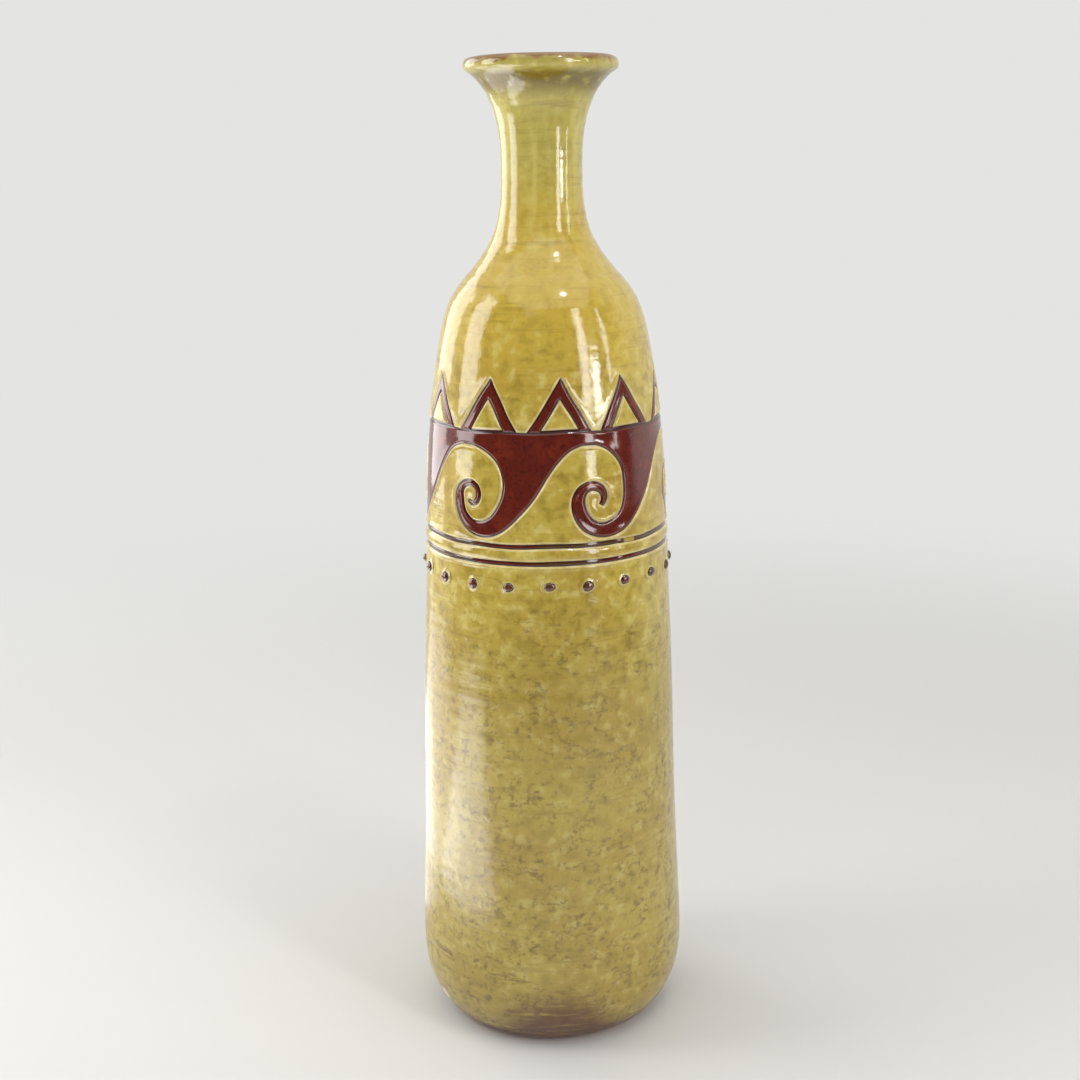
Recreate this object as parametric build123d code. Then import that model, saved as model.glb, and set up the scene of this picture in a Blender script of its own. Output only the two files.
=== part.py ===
from build123d import *
import os
from math import cos, degrees, pi, radians, sin, sqrt

# Tall bottle vase, in millimetres, +Z up, origin on the ground under the middle of the foot.
# Three thrown clay sections are luted into one wall and lined with glaze. The outside carries
# coats of yellow glaze around an inlaid brown ornament: two ring lines, a running wave,
# a row of triangles and a row of raised pellets. The front faces -Y.

# Outside of the clay: the radius at each station, and its rise from the station below
FOOT_RADIUS = 40.0
HEEL_RADIUS = 52.2
HEEL_RISE = 14.0
BELLY_RADIUS = 55.2
BELLY_RISE = 26.0
FLANK_RADIUS = 53.5
FLANK_RISE = 40.0
WAIST_RADIUS = 51.6
WAIST_RISE = 65.0
RING_RADIUS = 49.1
RING_RISE = 67.0
FRIEZE_RADIUS = 46.3
FRIEZE_RISE = 48.0
SLOPE_RADIUS = 43.5
SLOPE_RISE = 20.0
SHOULDER_RADIUS = 40.7
SHOULDER_RISE = 15.0
BROW_RADIUS = 36.0
BROW_RISE = 13.0
COLLAR_RADIUS = 26.4
COLLAR_RISE = 12.0
NECK_RADIUS = 18.6
NECK_RISE = 12.5
THROAT_RADIUS = 15.2
THROAT_RISE = 24.5
FLARE_RADIUS = 17.8
FLARE_RISE = 22.5
LIP_RADIUS = 30.5
LIP_RISE = 20.5
FOOT_ANGLE = 25.0
LIP_ANGLE = 30.0

# Wall, floor, foot and glaze
WALL = 4.6
FLOOR = 9.0
FOOT_WIDTH = 10.0
FOOT_RECESS = 2.5
GLAZE = 0.8
INLAY = 0.45
BARE_FOOT = 3.5
LUTE_RIDGE = 1.6

# Ring lines, centred on the ring station
LINE_WIDTH = 1.6
LINE_SPACING = 6.8

# Running wave: a strip under the frieze's top edge with scrolls hanging from it
WAVE_COUNT = 6
WAVE_ANGLE = 24.0
WAVE_CLEARANCE = 1.8
STRIP_WIDTH = 4.5
CREST_TRIM = 0.35

# Shape of one scroll, as shares of its height: its tail winds from under the eye in to a tip.
# The crest's angles place the points of the hollow edge and of the back edge on its round.
EYE_RISE = 0.42
CREST_SIZE = 0.40
CREST_OFFSET = 0.05
TAIL_INNER = 0.25
TAIL_OUTER = 0.415
TIP_INNER = 0.024
TIP_OUTER = 0.077
TAIL_START = -40.0
TAIL_TURN = 290.0
TAIL_STEPS = 11
HOLLOW_CREST = (80, 60, 40, 20, 0)
BACK_CREST = (145, 120, 100)
WAVE_MIDDLE = 0.36

# Triangles along the frieze's top edge
TRIANGLE_COUNT = 10
TRIANGLE_ANGLE = 6.7
TRIANGLE_HEIGHT = 20.0
TRIANGLE_GAP = 4.0
LEG_WIDTH = 5.0
BAR_WIDTH = 1.2

# Raised pellets in a row under the ring lines
PELLET_COUNT = 20
PELLET_ANGLE = 0.7
PELLET_DROP = 12.4
PELLET_RADIUS = 2.3
PELLET_STAND = 1.0

# Spans of a parallel to the whole wall line, and how far cutting solids reach past the wall
SPANS = 40
SPANS_LEAST = 2
REACH = 20.0

HEEL_HEIGHT = HEEL_RISE
BELLY_HEIGHT = HEEL_HEIGHT + BELLY_RISE
FLANK_HEIGHT = BELLY_HEIGHT + FLANK_RISE
WAIST_HEIGHT = FLANK_HEIGHT + WAIST_RISE
RING_HEIGHT = WAIST_HEIGHT + RING_RISE
FRIEZE_HEIGHT = RING_HEIGHT + FRIEZE_RISE
SLOPE_HEIGHT = FRIEZE_HEIGHT + SLOPE_RISE
SHOULDER_HEIGHT = SLOPE_HEIGHT + SHOULDER_RISE
BROW_HEIGHT = SHOULDER_HEIGHT + BROW_RISE
COLLAR_HEIGHT = BROW_HEIGHT + COLLAR_RISE
NECK_HEIGHT = COLLAR_HEIGHT + NECK_RISE
THROAT_HEIGHT = NECK_HEIGHT + THROAT_RISE
FLARE_HEIGHT = THROAT_HEIGHT + FLARE_RISE
TOP_HEIGHT = FLARE_HEIGHT + LIP_RISE

LOWER_LINE = RING_HEIGHT - LINE_SPACING / 2
UPPER_LINE = RING_HEIGHT + LINE_SPACING / 2
PELLET_HEIGHT = RING_HEIGHT - PELLET_DROP
WIDE = max(BELLY_RADIUS, HEEL_RADIUS, FLANK_RADIUS, LIP_RADIUS) + REACH

# The lip is a half round over the whole wall, turned outwards by the lip's angle
LIP_ALONG = Vector(cos(radians(LIP_ANGLE)), 0, sin(radians(LIP_ANGLE)))
LIP_ACROSS = Vector(LIP_ALONG.Z, 0, -LIP_ALONG.X)
LIP_CENTRE = Vector(LIP_RADIUS - GLAZE - WALL / 2, 0, TOP_HEIGHT - GLAZE - WALL / 2)

STATIONS = [
    (FOOT_RADIUS, 0),
    (HEEL_RADIUS, HEEL_HEIGHT),
    (BELLY_RADIUS, BELLY_HEIGHT),
    (FLANK_RADIUS, FLANK_HEIGHT),
    (WAIST_RADIUS, WAIST_HEIGHT),
    (RING_RADIUS, RING_HEIGHT),
    (FRIEZE_RADIUS, FRIEZE_HEIGHT),
    (SLOPE_RADIUS, SLOPE_HEIGHT),
    (SHOULDER_RADIUS, SHOULDER_HEIGHT),
    (BROW_RADIUS, BROW_HEIGHT),
    (COLLAR_RADIUS, COLLAR_HEIGHT),
    (NECK_RADIUS, NECK_HEIGHT),
    (THROAT_RADIUS, THROAT_HEIGHT),
    (FLARE_RADIUS, FLARE_HEIGHT),
]


def wall_line():
    """Outside of the clay, from the foot's edge up to the start of the lip."""
    points = [Vector(radius, 0, height) for radius, height in STATIONS]
    points.append(LIP_CENTRE + LIP_ACROSS * (WALL / 2))
    start = Vector(cos(radians(FOOT_ANGLE)), 0, sin(radians(FOOT_ANGLE)))
    return Spline(points, tangents=(start, LIP_ALONG), tangent_scalars=(1, 1))


CLAY_LINE = wall_line()


def beside(share, distance):
    """Point at a share of the clay's outside line, moved outwards by a distance."""
    point = CLAY_LINE @ share
    along = CLAY_LINE % share
    return Vector(point.X + distance * along.Z, 0, point.Z - distance * along.X)


def share_at(height, distance=0.0):
    """Share of the line where its parallel at a distance passes a height."""
    low = 0.0
    high = 1.0
    for _ in range(50):
        middle = (low + high) / 2
        if beside(middle, distance).Z < height:
            low = middle
        else:
            high = middle
    return (low + high) / 2


def parallel(distance, start, end):
    """Curve beside the clay's outside line, between two shares of it."""
    spans = max(SPANS_LEAST, round(SPANS * (end - start)))
    shares = [start + (end - start) * step / spans for step in range(spans + 1)]
    points = [beside(share, distance) for share in shares]
    ends = (CLAY_LINE % start, CLAY_LINE % end)
    return Spline(points, tangents=ends, tangent_scalars=(1, 1))


def lip_arc(radius):
    """Half round over the lip, from the outside of the wall to the inside."""
    start = LIP_CENTRE + LIP_ACROSS * radius
    middle = LIP_CENTRE + LIP_ALONG * radius
    end = LIP_CENTRE - LIP_ACROSS * radius
    return ThreePointArc(start, middle, end)


def spun(*edges):
    """Solid of revolution from a closed outline beside the axis."""
    return revolve(make_face(edges), Axis.Z)


def path(*points):
    """Straight runs in the radius and height plane."""
    return [Line(start, end) for start, end in zip(points, points[1:])]


def turned(shape, angle):
    """Shape that faces the front, turned about the axis towards +X."""
    return Rot(0, 0, angle) * shape


def stamp(*edges):
    """Prism that pushes a front outline outwards from the axis through the wall."""
    return extrude(make_face(edges), WIDE, dir=(0, -1, 0))


def one(shape, name):
    """The single solid that a piece must be."""
    solids = shape.solids()
    if len(solids) != 1:
        raise ValueError(f"{name} came out as {len(solids)} solids")
    return solids[0]


def save(shape, name):
    """Write one piece."""
    export_step(one(shape, name), f"parts/{name}.step")


# Clay wall and its luted sections
INSIDE_LINE = parallel(-WALL, share_at(FLOOR, -WALL), 1.0)


def clay_wall():
    """The whole clay wall with its floor, turned foot and rounded lip."""
    recess = FOOT_RADIUS - FOOT_WIDTH
    base = path(
        Vector(0, 0, FLOOR),
        Vector(0, 0, FOOT_RECESS),
        Vector(recess - FOOT_RECESS, 0, FOOT_RECESS),
        Vector(recess, 0, 0),
        Vector(FOOT_RADIUS, 0, 0),
    )
    floor = Line(INSIDE_LINE @ 0, Vector(0, 0, FLOOR))
    return spun(*base, CLAY_LINE, lip_arc(WALL / 2), INSIDE_LINE, floor)


def under_joint(height):
    """Everything under a luted joint, whose ridge keys into the section above."""
    share = share_at(height)
    ridge = beside(share, -WALL / 2) + (CLAY_LINE % share) * LUTE_RIDGE
    outer = beside(share, WALL)
    inner = beside(share, -2 * WALL)
    corners = [
        Vector(0, 0, inner.Z),
        Vector(0, 0, -REACH),
        Vector(WIDE, 0, -REACH),
        Vector(WIDE, 0, outer.Z),
        outer,
        beside(share, 0),
        ridge,
        beside(share, -WALL),
        inner,
        Vector(0, 0, inner.Z),
    ]
    return spun(*path(*corners))


def liner():
    """Glaze inside the vase, over the floor and up to the lip."""
    start = share_at(FLOOR + GLAZE, -WALL - GLAZE)
    face = parallel(-WALL - GLAZE, start, 1.0)
    floor = path(
        face @ 0,
        Vector(0, 0, FLOOR + GLAZE),
        Vector(0, 0, FLOOR),
        INSIDE_LINE @ 0,
    )
    rim = Line(INSIDE_LINE @ 1, face @ 1)
    return spun(*floor, INSIDE_LINE, rim, face)


# Glaze on the outside
def coat(low, high, thickness):
    """Ring of glaze on the clay between two heights."""
    inner = CLAY_LINE.trim(share_at(low), share_at(high))
    outer = parallel(thickness, share_at(low, thickness), share_at(high, thickness))
    return spun(inner, Line(inner @ 1, outer @ 1), outer, Line(outer @ 0, inner @ 0))


def top_coat(low):
    """Yellow glaze from a height over the lip to the liner."""
    inner = CLAY_LINE.trim(share_at(low), 1.0)
    outer = parallel(GLAZE, share_at(low, GLAZE), 1.0)
    clay_lip = lip_arc(WALL / 2)
    coat_lip = lip_arc(WALL / 2 + GLAZE)
    rim = Line(clay_lip @ 1, coat_lip @ 1)
    return spun(inner, clay_lip, rim, coat_lip, outer, Line(outer @ 0, inner @ 0))


# Running wave
SCROLL_FLOOR = UPPER_LINE + LINE_WIDTH / 2 + WAVE_CLEARANCE
SCROLL_HEIGHT = FRIEZE_HEIGHT - STRIP_WIDTH - SCROLL_FLOOR
WAVE_RADIUS = (RING_RADIUS + FRIEZE_RADIUS) / 2 + GLAZE
WAVE_PITCH = 2 * pi * WAVE_RADIUS / WAVE_COUNT


def on_crest(angle, along=0.0):
    """Point of the round crest, measured from the eye, along the wall and up."""
    size = CREST_SIZE * SCROLL_HEIGHT
    rise = (1 - EYE_RISE - CREST_SIZE) * SCROLL_HEIGHT
    x = along - CREST_OFFSET * SCROLL_HEIGHT + size * cos(radians(angle))
    return x, rise + size * sin(radians(angle))


def on_tail(turn, start, tip):
    """Point of one edge of the tail, which winds clockwise in from under the eye."""
    radius = (start + (tip - start) * turn / TAIL_TURN) * SCROLL_HEIGHT
    return -radius * sin(radians(turn)), -radius * cos(radians(turn))


def scroll():
    """One hanging scroll, its eye at the front, up to inside the strip above it."""
    step_turn = (TAIL_TURN - TAIL_START) / TAIL_STEPS
    turns = [TAIL_START + step_turn * step for step in range(TAIL_STEPS + 1)]
    hollow = [on_crest(angle) for angle in HOLLOW_CREST]
    hollow += [on_tail(turn, TAIL_INNER, TIP_INNER) for turn in turns]
    back = [on_tail(turn, TAIL_OUTER, TIP_OUTER) for turn in reversed(turns)]
    back += [on_crest(angle, WAVE_PITCH) for angle in BACK_CREST]
    middle = WAVE_PITCH * WAVE_MIDDLE
    top = FRIEZE_HEIGHT - STRIP_WIDTH / 2
    eye = SCROLL_FLOOR + EYE_RISE * SCROLL_HEIGHT

    def on_front(point):
        return Vector(WAVE_RADIUS * sin((point[0] - middle) / WAVE_RADIUS), 0, eye + point[1])

    hollow_edge = Spline([on_front(point) for point in hollow])
    back_edge = Spline([on_front(point) for point in back])
    left = hollow_edge @ 0
    right = back_edge @ 1
    closing = path(
        right,
        Vector(right.X, 0, top),
        Vector(left.X, 0, top),
        left,
    )
    tip = Line(hollow_edge @ 1, back_edge @ 0)
    return turned(stamp(hollow_edge, tip, back_edge, *closing), degrees(middle / WAVE_RADIUS))


# Triangles
TRIANGLE_PITCH = 2 * pi * (FRIEZE_RADIUS + GLAZE) / TRIANGLE_COUNT


def triangle_stamps():
    """Cutting solids of a triangle's outline and of its centre, facing the front."""
    half = (TRIANGLE_PITCH - TRIANGLE_GAP) / 2
    slant = sqrt(half * half + TRIANGLE_HEIGHT * TRIANGLE_HEIGHT)
    centre_top = TRIANGLE_HEIGHT - LEG_WIDTH * slant / half
    centre_half = (centre_top - BAR_WIDTH) * half / TRIANGLE_HEIGHT
    stamps = []
    for wide, low, high in ((half, 0, TRIANGLE_HEIGHT), (centre_half, BAR_WIDTH, centre_top)):
        left = Vector(-wide, 0, FRIEZE_HEIGHT + low)
        right = Vector(wide, 0, FRIEZE_HEIGHT + low)
        apex = Vector(0, 0, FRIEZE_HEIGHT + high)
        stamps.append(stamp(*path(left, right, apex, left)))
    return stamps


# Pellets
def pellet(clay):
    """Round bead of brown clay on the wall, standing through the coat at the front."""
    size = (PELLET_RADIUS ** 2 + PELLET_STAND ** 2) / (2 * PELLET_STAND)
    share = share_at(PELLET_HEIGHT)
    centre = beside(share, GLAZE + PELLET_STAND - size)
    bead = Pos(0, -centre.X, centre.Z) * Sphere(size)
    return bead - clay


def filled_clay():
    """The clay's outer shape without its hollow, over the pellets' height."""
    start = share_at(PELLET_HEIGHT - REACH)
    end = share_at(PELLET_HEIGHT + REACH)
    side = CLAY_LINE.trim(start, end)
    low = side @ 0
    high = side @ 1
    ends = path(high, Vector(0, 0, high.Z), Vector(0, 0, low.Z), low)
    return spun(side, *ends)


os.makedirs("parts", exist_ok=True)

clay = clay_wall()
body_space = under_joint(RING_HEIGHT)
shoulder_space = under_joint(NECK_HEIGHT)
save(clay & body_space, "lower_body")
save((clay - body_space) & shoulder_space, "shoulder")
save(clay - shoulder_space, "neck")
save(liner(), "liner_glaze")

half_line = LINE_WIDTH / 2
pellet_turns = [PELLET_ANGLE + 360 / PELLET_COUNT * index for index in range(PELLET_COUNT)]
front_pellet = pellet(filled_clay())
pellets = [turned(front_pellet, angle) for angle in pellet_turns]
for index, bead in enumerate(pellets, start=1):
    save(bead, f"pellet_{index:02d}")
between_pellets = PELLET_ANGLE + 180 / PELLET_COUNT
plain_coat = turned(coat(BARE_FOOT, LOWER_LINE - half_line, GLAZE), between_pellets)
save(plain_coat - pellets, "lower_coat")

save(coat(LOWER_LINE - half_line, LOWER_LINE + half_line, INLAY), "lower_ring_line")
save(coat(LOWER_LINE + half_line, UPPER_LINE - half_line, GLAZE), "ring_coat")
save(coat(UPPER_LINE - half_line, UPPER_LINE + half_line, INLAY), "upper_ring_line")

strip_floor = FRIEZE_HEIGHT - STRIP_WIDTH - CREST_TRIM
scroll_coat = coat(UPPER_LINE + half_line, strip_floor, INLAY)
wave_frieze = coat(strip_floor, FRIEZE_HEIGHT, INLAY)
frieze_coat = coat(UPPER_LINE + half_line, strip_floor, GLAZE)
front_scroll = scroll()
for index in range(WAVE_COUNT):
    hanging = turned(front_scroll, WAVE_ANGLE + 360 / WAVE_COUNT * index)
    wave_frieze = wave_frieze + (scroll_coat & hanging)
    frieze_coat = frieze_coat - hanging
save(wave_frieze, "wave_frieze")
save(frieze_coat, "frieze_coat")

outline, centre = triangle_stamps()
triangle_top = FRIEZE_HEIGHT + TRIANGLE_HEIGHT + GLAZE
leg_coat = coat(FRIEZE_HEIGHT, triangle_top, INLAY)
centre_coat = coat(FRIEZE_HEIGHT, triangle_top, GLAZE)
upper_coat = top_coat(FRIEZE_HEIGHT)
for index in range(TRIANGLE_COUNT):
    angle = TRIANGLE_ANGLE + 360 / TRIANGLE_COUNT * index
    whole = turned(outline, angle)
    middle = turned(centre, angle)
    save((leg_coat & whole) - middle, f"triangle_{index + 1:02d}")
    save(centre_coat & middle, f"triangle_centre_{index + 1:02d}")
    upper_coat = upper_coat - whole
save(upper_coat, "upper_coat")
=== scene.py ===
"""Looks of a tall bottle vase: red clay under glossy yellow glaze, with an incised brown ornament.

Sizes are millimetres, and a mesh becomes metres when it is made. A place on the wall is a turn about
the axis, in radians from the front (-Y) towards +X, with a height or an arc length up the wall.
"""

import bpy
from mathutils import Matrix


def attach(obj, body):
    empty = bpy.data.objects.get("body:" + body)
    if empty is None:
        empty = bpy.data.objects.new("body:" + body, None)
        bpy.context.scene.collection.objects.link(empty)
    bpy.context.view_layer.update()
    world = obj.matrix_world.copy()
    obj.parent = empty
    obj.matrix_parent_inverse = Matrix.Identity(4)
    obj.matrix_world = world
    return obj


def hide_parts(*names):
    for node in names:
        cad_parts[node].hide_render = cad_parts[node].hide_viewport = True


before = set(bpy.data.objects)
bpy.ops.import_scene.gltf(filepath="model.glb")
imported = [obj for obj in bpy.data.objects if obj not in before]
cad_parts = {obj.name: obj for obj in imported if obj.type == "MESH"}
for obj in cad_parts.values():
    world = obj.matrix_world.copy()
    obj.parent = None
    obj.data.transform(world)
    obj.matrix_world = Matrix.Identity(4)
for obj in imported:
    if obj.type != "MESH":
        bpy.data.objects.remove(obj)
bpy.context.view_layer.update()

import logging
import math
from dataclasses import dataclass, field
from enum import Enum

import bpy
import numpy as np
from mathutils import Vector
from mathutils.geometry import delaunay_2d_cdt
from mathutils.kdtree import KDTree

MM = 0.001
FULL_TURN = 2 * math.pi
BODY = "root"
EDGE = "edge"
FREE = "free"
log = logging.getLogger("vase")

Colour = tuple[float, float, float, float]
Socket = bpy.types.NodeSocket
Value = Socket | float | int | tuple | str
Span = tuple[float, float]
Point = tuple[float, float, float]


class Slot(Enum):
    """Material slots of the record that the pieces take their finish from."""

    CLAY = "red_clay"
    LINER = "liner_glaze"
    YELLOW = "yellow_glaze"
    BROWN = "brown_glaze"
    PELLET = "pellet_glaze"


def tone(red: int, green: int, blue: int) -> Colour:
    """Colour for a shader from a swatch in steps of 255.

    Args:
        red: Red of the swatch.
        green: Green of the swatch.
        blue: Blue of the swatch.

    Returns:
        The linear colour, opaque.
    """
    steps = (red / 255, green / 255, blue / 255)
    linear = [step / 12.92 if step <= 0.04045 else ((step + 0.055) / 1.055) ** 2.4 for step in steps]
    return (*linear, 1.0)


def smooth_line(points: np.ndarray, steps: int, start: np.ndarray | None = None,
                end: np.ndarray | None = None) -> np.ndarray:
    """Cubic line through points, with its knots at the chords' lengths.

    Args:
        points: The points to pass, one a row.
        steps: Short straight steps on each span.
        start: Direction at the first point, or None for a free end.
        end: Direction at the last point, or None for a free end.

    Returns:
        Points along the line, one a row.
    """
    spans = np.linalg.norm(np.diff(points, axis=0), axis=1)[:, None]
    chords = np.diff(points, axis=0) / spans
    count = len(points)
    matrix = np.eye(count)
    right = np.zeros_like(points)
    for index in range(1, count - 1):
        before = 1 / spans[index - 1, 0]
        after = 1 / spans[index, 0]
        matrix[index, index - 1:index + 2] = (before, 2 * (before + after), after)
        right[index] = 3 * (chords[index - 1] * before + chords[index] * after)
    for row, beside, way, chord in ((0, 1, start, chords[0]), (-1, -2, end, chords[-1])):
        if way is None:
            matrix[row, row] = 2
            matrix[row, beside] = 1
            right[row] = 3 * chord
        else:
            right[row] = way
    slopes = np.linalg.solve(matrix, right)
    share = (np.arange(steps) / steps)[None, :, None]
    rest = 1 - share
    line = (points[:-1, None] * rest ** 2 * (1 + 2 * share)
            + points[1:, None] * share ** 2 * (1 + 2 * rest)
            + (slopes[:-1] * spans)[:, None] * share * rest ** 2
            - (slopes[1:] * spans)[:, None] * share ** 2 * rest)
    return np.vstack((line.reshape(-1, points.shape[1]), points[-1:]))


def spaced(line: np.ndarray, step: float) -> np.ndarray:
    """Points at even steps along a line, both ends included.

    Args:
        line: Points of the line, one a row.
        step: Length of a step, about.

    Returns:
        The points, one a row.
    """
    arc = np.concatenate(([0], np.cumsum(np.linalg.norm(np.diff(line, axis=0), axis=1))))
    wanted = np.linspace(0, arc[-1], max(2, round(arc[-1] / step) + 1))
    return np.column_stack([np.interp(wanted, arc, column) for column in line.T])


def wrapped(turn: np.ndarray) -> np.ndarray:
    """Turns brought between minus and plus half a turn."""
    return (turn + math.pi) % FULL_TURN - math.pi


@dataclass
class ThrownWall:
    """Outside of the thrown clay, from the foot's edge up and over the lip.

    Every coat of glaze is measured outwards from this line.
    """

    stations: tuple[Span, ...] = (
        (40.0, 0.0), (52.2, 14.0), (55.2, 40.0), (53.5, 80.0), (51.6, 145.0), (49.1, 212.0),
        (46.3, 260.0), (43.5, 280.0), (40.7, 295.0), (36.0, 308.0), (26.4, 320.0), (18.6, 332.5),
        (15.2, 357.0), (17.8, 379.5),
    )
    foot_angle: float = 25.0
    lip_angle: float = 30.0
    lip_radius: float = 30.5
    top: float = 400.0
    thickness: float = 4.6
    glaze: float = 0.8
    span_steps: int = 300
    lip_steps: int = 120
    line: np.ndarray = field(init=False, repr=False)
    outward: np.ndarray = field(init=False, repr=False)
    arc: np.ndarray = field(init=False, repr=False)
    lip_arc: float = field(init=False)

    def __post_init__(self) -> None:
        """Draw the line once, with its outward directions and arc lengths."""
        lip = math.radians(self.lip_angle)
        foot = math.radians(self.foot_angle)
        along = np.array((math.cos(lip), math.sin(lip)))
        across = np.array((along[1], -along[0]))
        round_radius = self.thickness / 2
        inset = self.glaze + round_radius
        centre = np.array((self.lip_radius - inset, self.top - inset))
        points = np.array([*self.stations, centre + across * round_radius])
        side = smooth_line(points, self.span_steps, np.array((math.cos(foot), math.sin(foot))), along)
        way = np.gradient(side, axis=0)
        normal = np.column_stack((way[:, 1], -way[:, 0])) / np.linalg.norm(way, axis=1)[:, None]
        angle = np.linspace(0, math.pi, self.lip_steps)[1:]
        spoke = np.outer(np.cos(angle), across) + np.outer(np.sin(angle), along)
        self.line = np.vstack((side, centre + round_radius * spoke))
        self.outward = np.vstack((normal, spoke))
        self.arc = np.concatenate(([0], np.cumsum(np.linalg.norm(np.diff(self.line, axis=0), axis=1))))
        self.lip_arc = float(self.arc[len(side) - 1])

    def arc_at(self, height: np.ndarray | float) -> np.ndarray:
        """Arc length up the outside where it passes a height."""
        side = self.arc <= self.lip_arc
        return np.interp(height, self.line[side, 1], self.arc[side])

    def radius_at(self, height: np.ndarray | float) -> np.ndarray:
        """Radius of the clay at a height of the outside."""
        return np.interp(self.arc_at(height), self.arc, self.line[:, 0])

    def section(self, arc: np.ndarray, lift: np.ndarray | float) -> np.ndarray:
        """Points of the upright section.

        Args:
            arc: Arc lengths up the wall.
            lift: Heights outwards from the clay.

        Returns:
            Radius and height of each point, one a row.
        """
        clay = np.column_stack([np.interp(arc, self.arc, column) for column in self.line.T])
        out = np.column_stack([np.interp(arc, self.arc, column) for column in self.outward.T])
        return clay + out * np.broadcast_to(lift, arc.shape)[:, None]

    def place(self, turn: np.ndarray, arc: np.ndarray, lift: np.ndarray | float) -> np.ndarray:
        """Points on the wall.

        Args:
            turn: Turns about the axis.
            arc: Arc lengths up the wall.
            lift: Heights outwards from the clay.

        Returns:
            Points in space, one a row.
        """
        radius, height = self.section(arc, lift).T
        return np.column_stack((radius * np.sin(turn), -radius * np.cos(turn), height))


@dataclass(frozen=True)
class CutEdge:
    """How a glaze stands beside the cut line that bounds it.

    Attributes:
        level: Height of the glaze away from the cut.
        swell: Height of the rounded edge above that level.
        swell_at: Distance of the rounded edge from the cut.
        swell_width: Half the width of the rounded edge.
        cut_width: Half the width of the cut.
        floor: Height of the cut's bottom, which all glazes share.
    """

    level: float
    swell: float
    swell_at: float
    swell_width: float
    cut_width: float
    floor: float = 0.22

    def lift(self, gap: np.ndarray) -> np.ndarray:
        """Height of the glaze at distances from the cut."""
        rise = 1 - np.exp(-(gap / self.cut_width) ** 2)
        edge = self.swell * np.exp(-((gap - self.swell_at) / self.swell_width) ** 2)
        return self.floor + (self.level - self.floor + edge) * rise


@dataclass(frozen=True)
class HandWobble:
    """The small unsteadiness of a line cut by hand, which dies out at the lowest line.

    Attributes:
        lowest: Height of the lowest line, which stays true.
        reach: Height above it over which the unsteadiness comes in.
        size: How far a line strays.
        side_waves: Share, waves round the vase, waves up it and start of each wave to the side.
        rise_waves: The same for each wave up and down.
    """

    lowest: float
    reach: float = 3.2
    size: float = 0.17
    side_waves: tuple[tuple[float, ...], ...] = ((1.0, 7, 0.19, 1.3), (0.7, 17, -0.31, 4.1))
    rise_waves: tuple[tuple[float, ...], ...] = ((1.0, 5, 0.0, 0.9), (0.8, 11, 0.23, 2.2))

    def bend(self, cut: np.ndarray, radius: np.ndarray) -> np.ndarray:
        """Cut line with the hand's unsteadiness.

        Args:
            cut: Turn and height of each point, one a row.
            radius: Radius of the wall at each point.

        Returns:
            The line's points moved along the wall.
        """
        turn, height = cut.T
        side, rise = (
            sum(share * np.sin(around * turn + up * height + start) for share, around, up, start in waves)
            for waves in (self.side_waves, self.rise_waves))
        amount = self.size * np.clip((height - self.lowest) / self.reach, 0, 1)
        return np.column_stack((turn + amount * side / radius, height + amount * rise))


@dataclass(frozen=True)
class Stroke:
    """A cut line on the wall, closed or open.

    Attributes:
        cut: Turn and height of each point, one a row.
        closed: Whether its end runs on to its start.
        lap: Turn from its start round to its start again, nothing for a small loop.
    """

    cut: np.ndarray
    closed: bool = False
    lap: float = 0.0

    def looped(self) -> np.ndarray:
        """The points, with the start again at the end where the line is closed."""
        return np.vstack((self.cut, self.cut[:1] + (self.lap, 0))) if self.closed else self.cut

    def beside(self, offset: float, radius: np.ndarray) -> np.ndarray:
        """Points at a distance to one side of the line.

        Args:
            offset: The distance, to the left of the line's way where it is above nothing.
            radius: Radius of the wall at each point.

        Returns:
            Turn and height of each point, one a row.
        """
        line = self.looped()
        if self.closed:
            ahead = line[1:]
            behind = np.vstack((self.cut[-1:] - (self.lap, 0), self.cut[:-1]))
            way = ahead - behind
        else:
            way = np.gradient(line, axis=0)
        way[:, 0] *= radius
        way /= np.linalg.norm(way, axis=1)[:, None]
        return self.cut + offset * np.column_stack((-way[:, 1] / radius, way[:, 0]))

    def under(self, turn: float, height: float) -> bool:
        """Whether a place lies under a line round the vase, or within a small loop."""
        line = self.looped()
        start = wrapped(line[:-1, 0] - turn)
        end = start + np.diff(line[:, 0])
        rise = np.diff(line[:, 1])
        crossing = ((start > 0) != (end > 0)) & (np.abs(start) < 1)
        share = start[crossing] / (start[crossing] - end[crossing])
        return bool(np.sum(line[:-1, 1][crossing] + share * rise[crossing] > height) % 2)


@dataclass(frozen=True)
class Scroll:
    """How one scroll of the band is drawn by hand.

    Attributes:
        eye_rise: Height of its eye above the band's floor.
        widen: Widening of its round crest to the right.
        turns: Turns about the eye in degrees, from its right, under it and round to the tip.
        inner: Distance of the tail's inner edge from the eye at each turn.
        outer: Distance of the tail's outer edge from the eye at each turn.
    """

    eye_rise: float
    widen: float
    turns: tuple[float, ...]
    inner: tuple[float, ...]
    outer: tuple[float, ...]

    def tail(self, radii: tuple[float, ...], eye: float) -> list[tuple[float, float]]:
        """Points of one edge of the tail, along the wall and up."""
        return [(-radius * math.sin(math.radians(turn)), eye - radius * math.cos(math.radians(turn)))
                for turn, radius in zip(self.turns, radii)]


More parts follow.
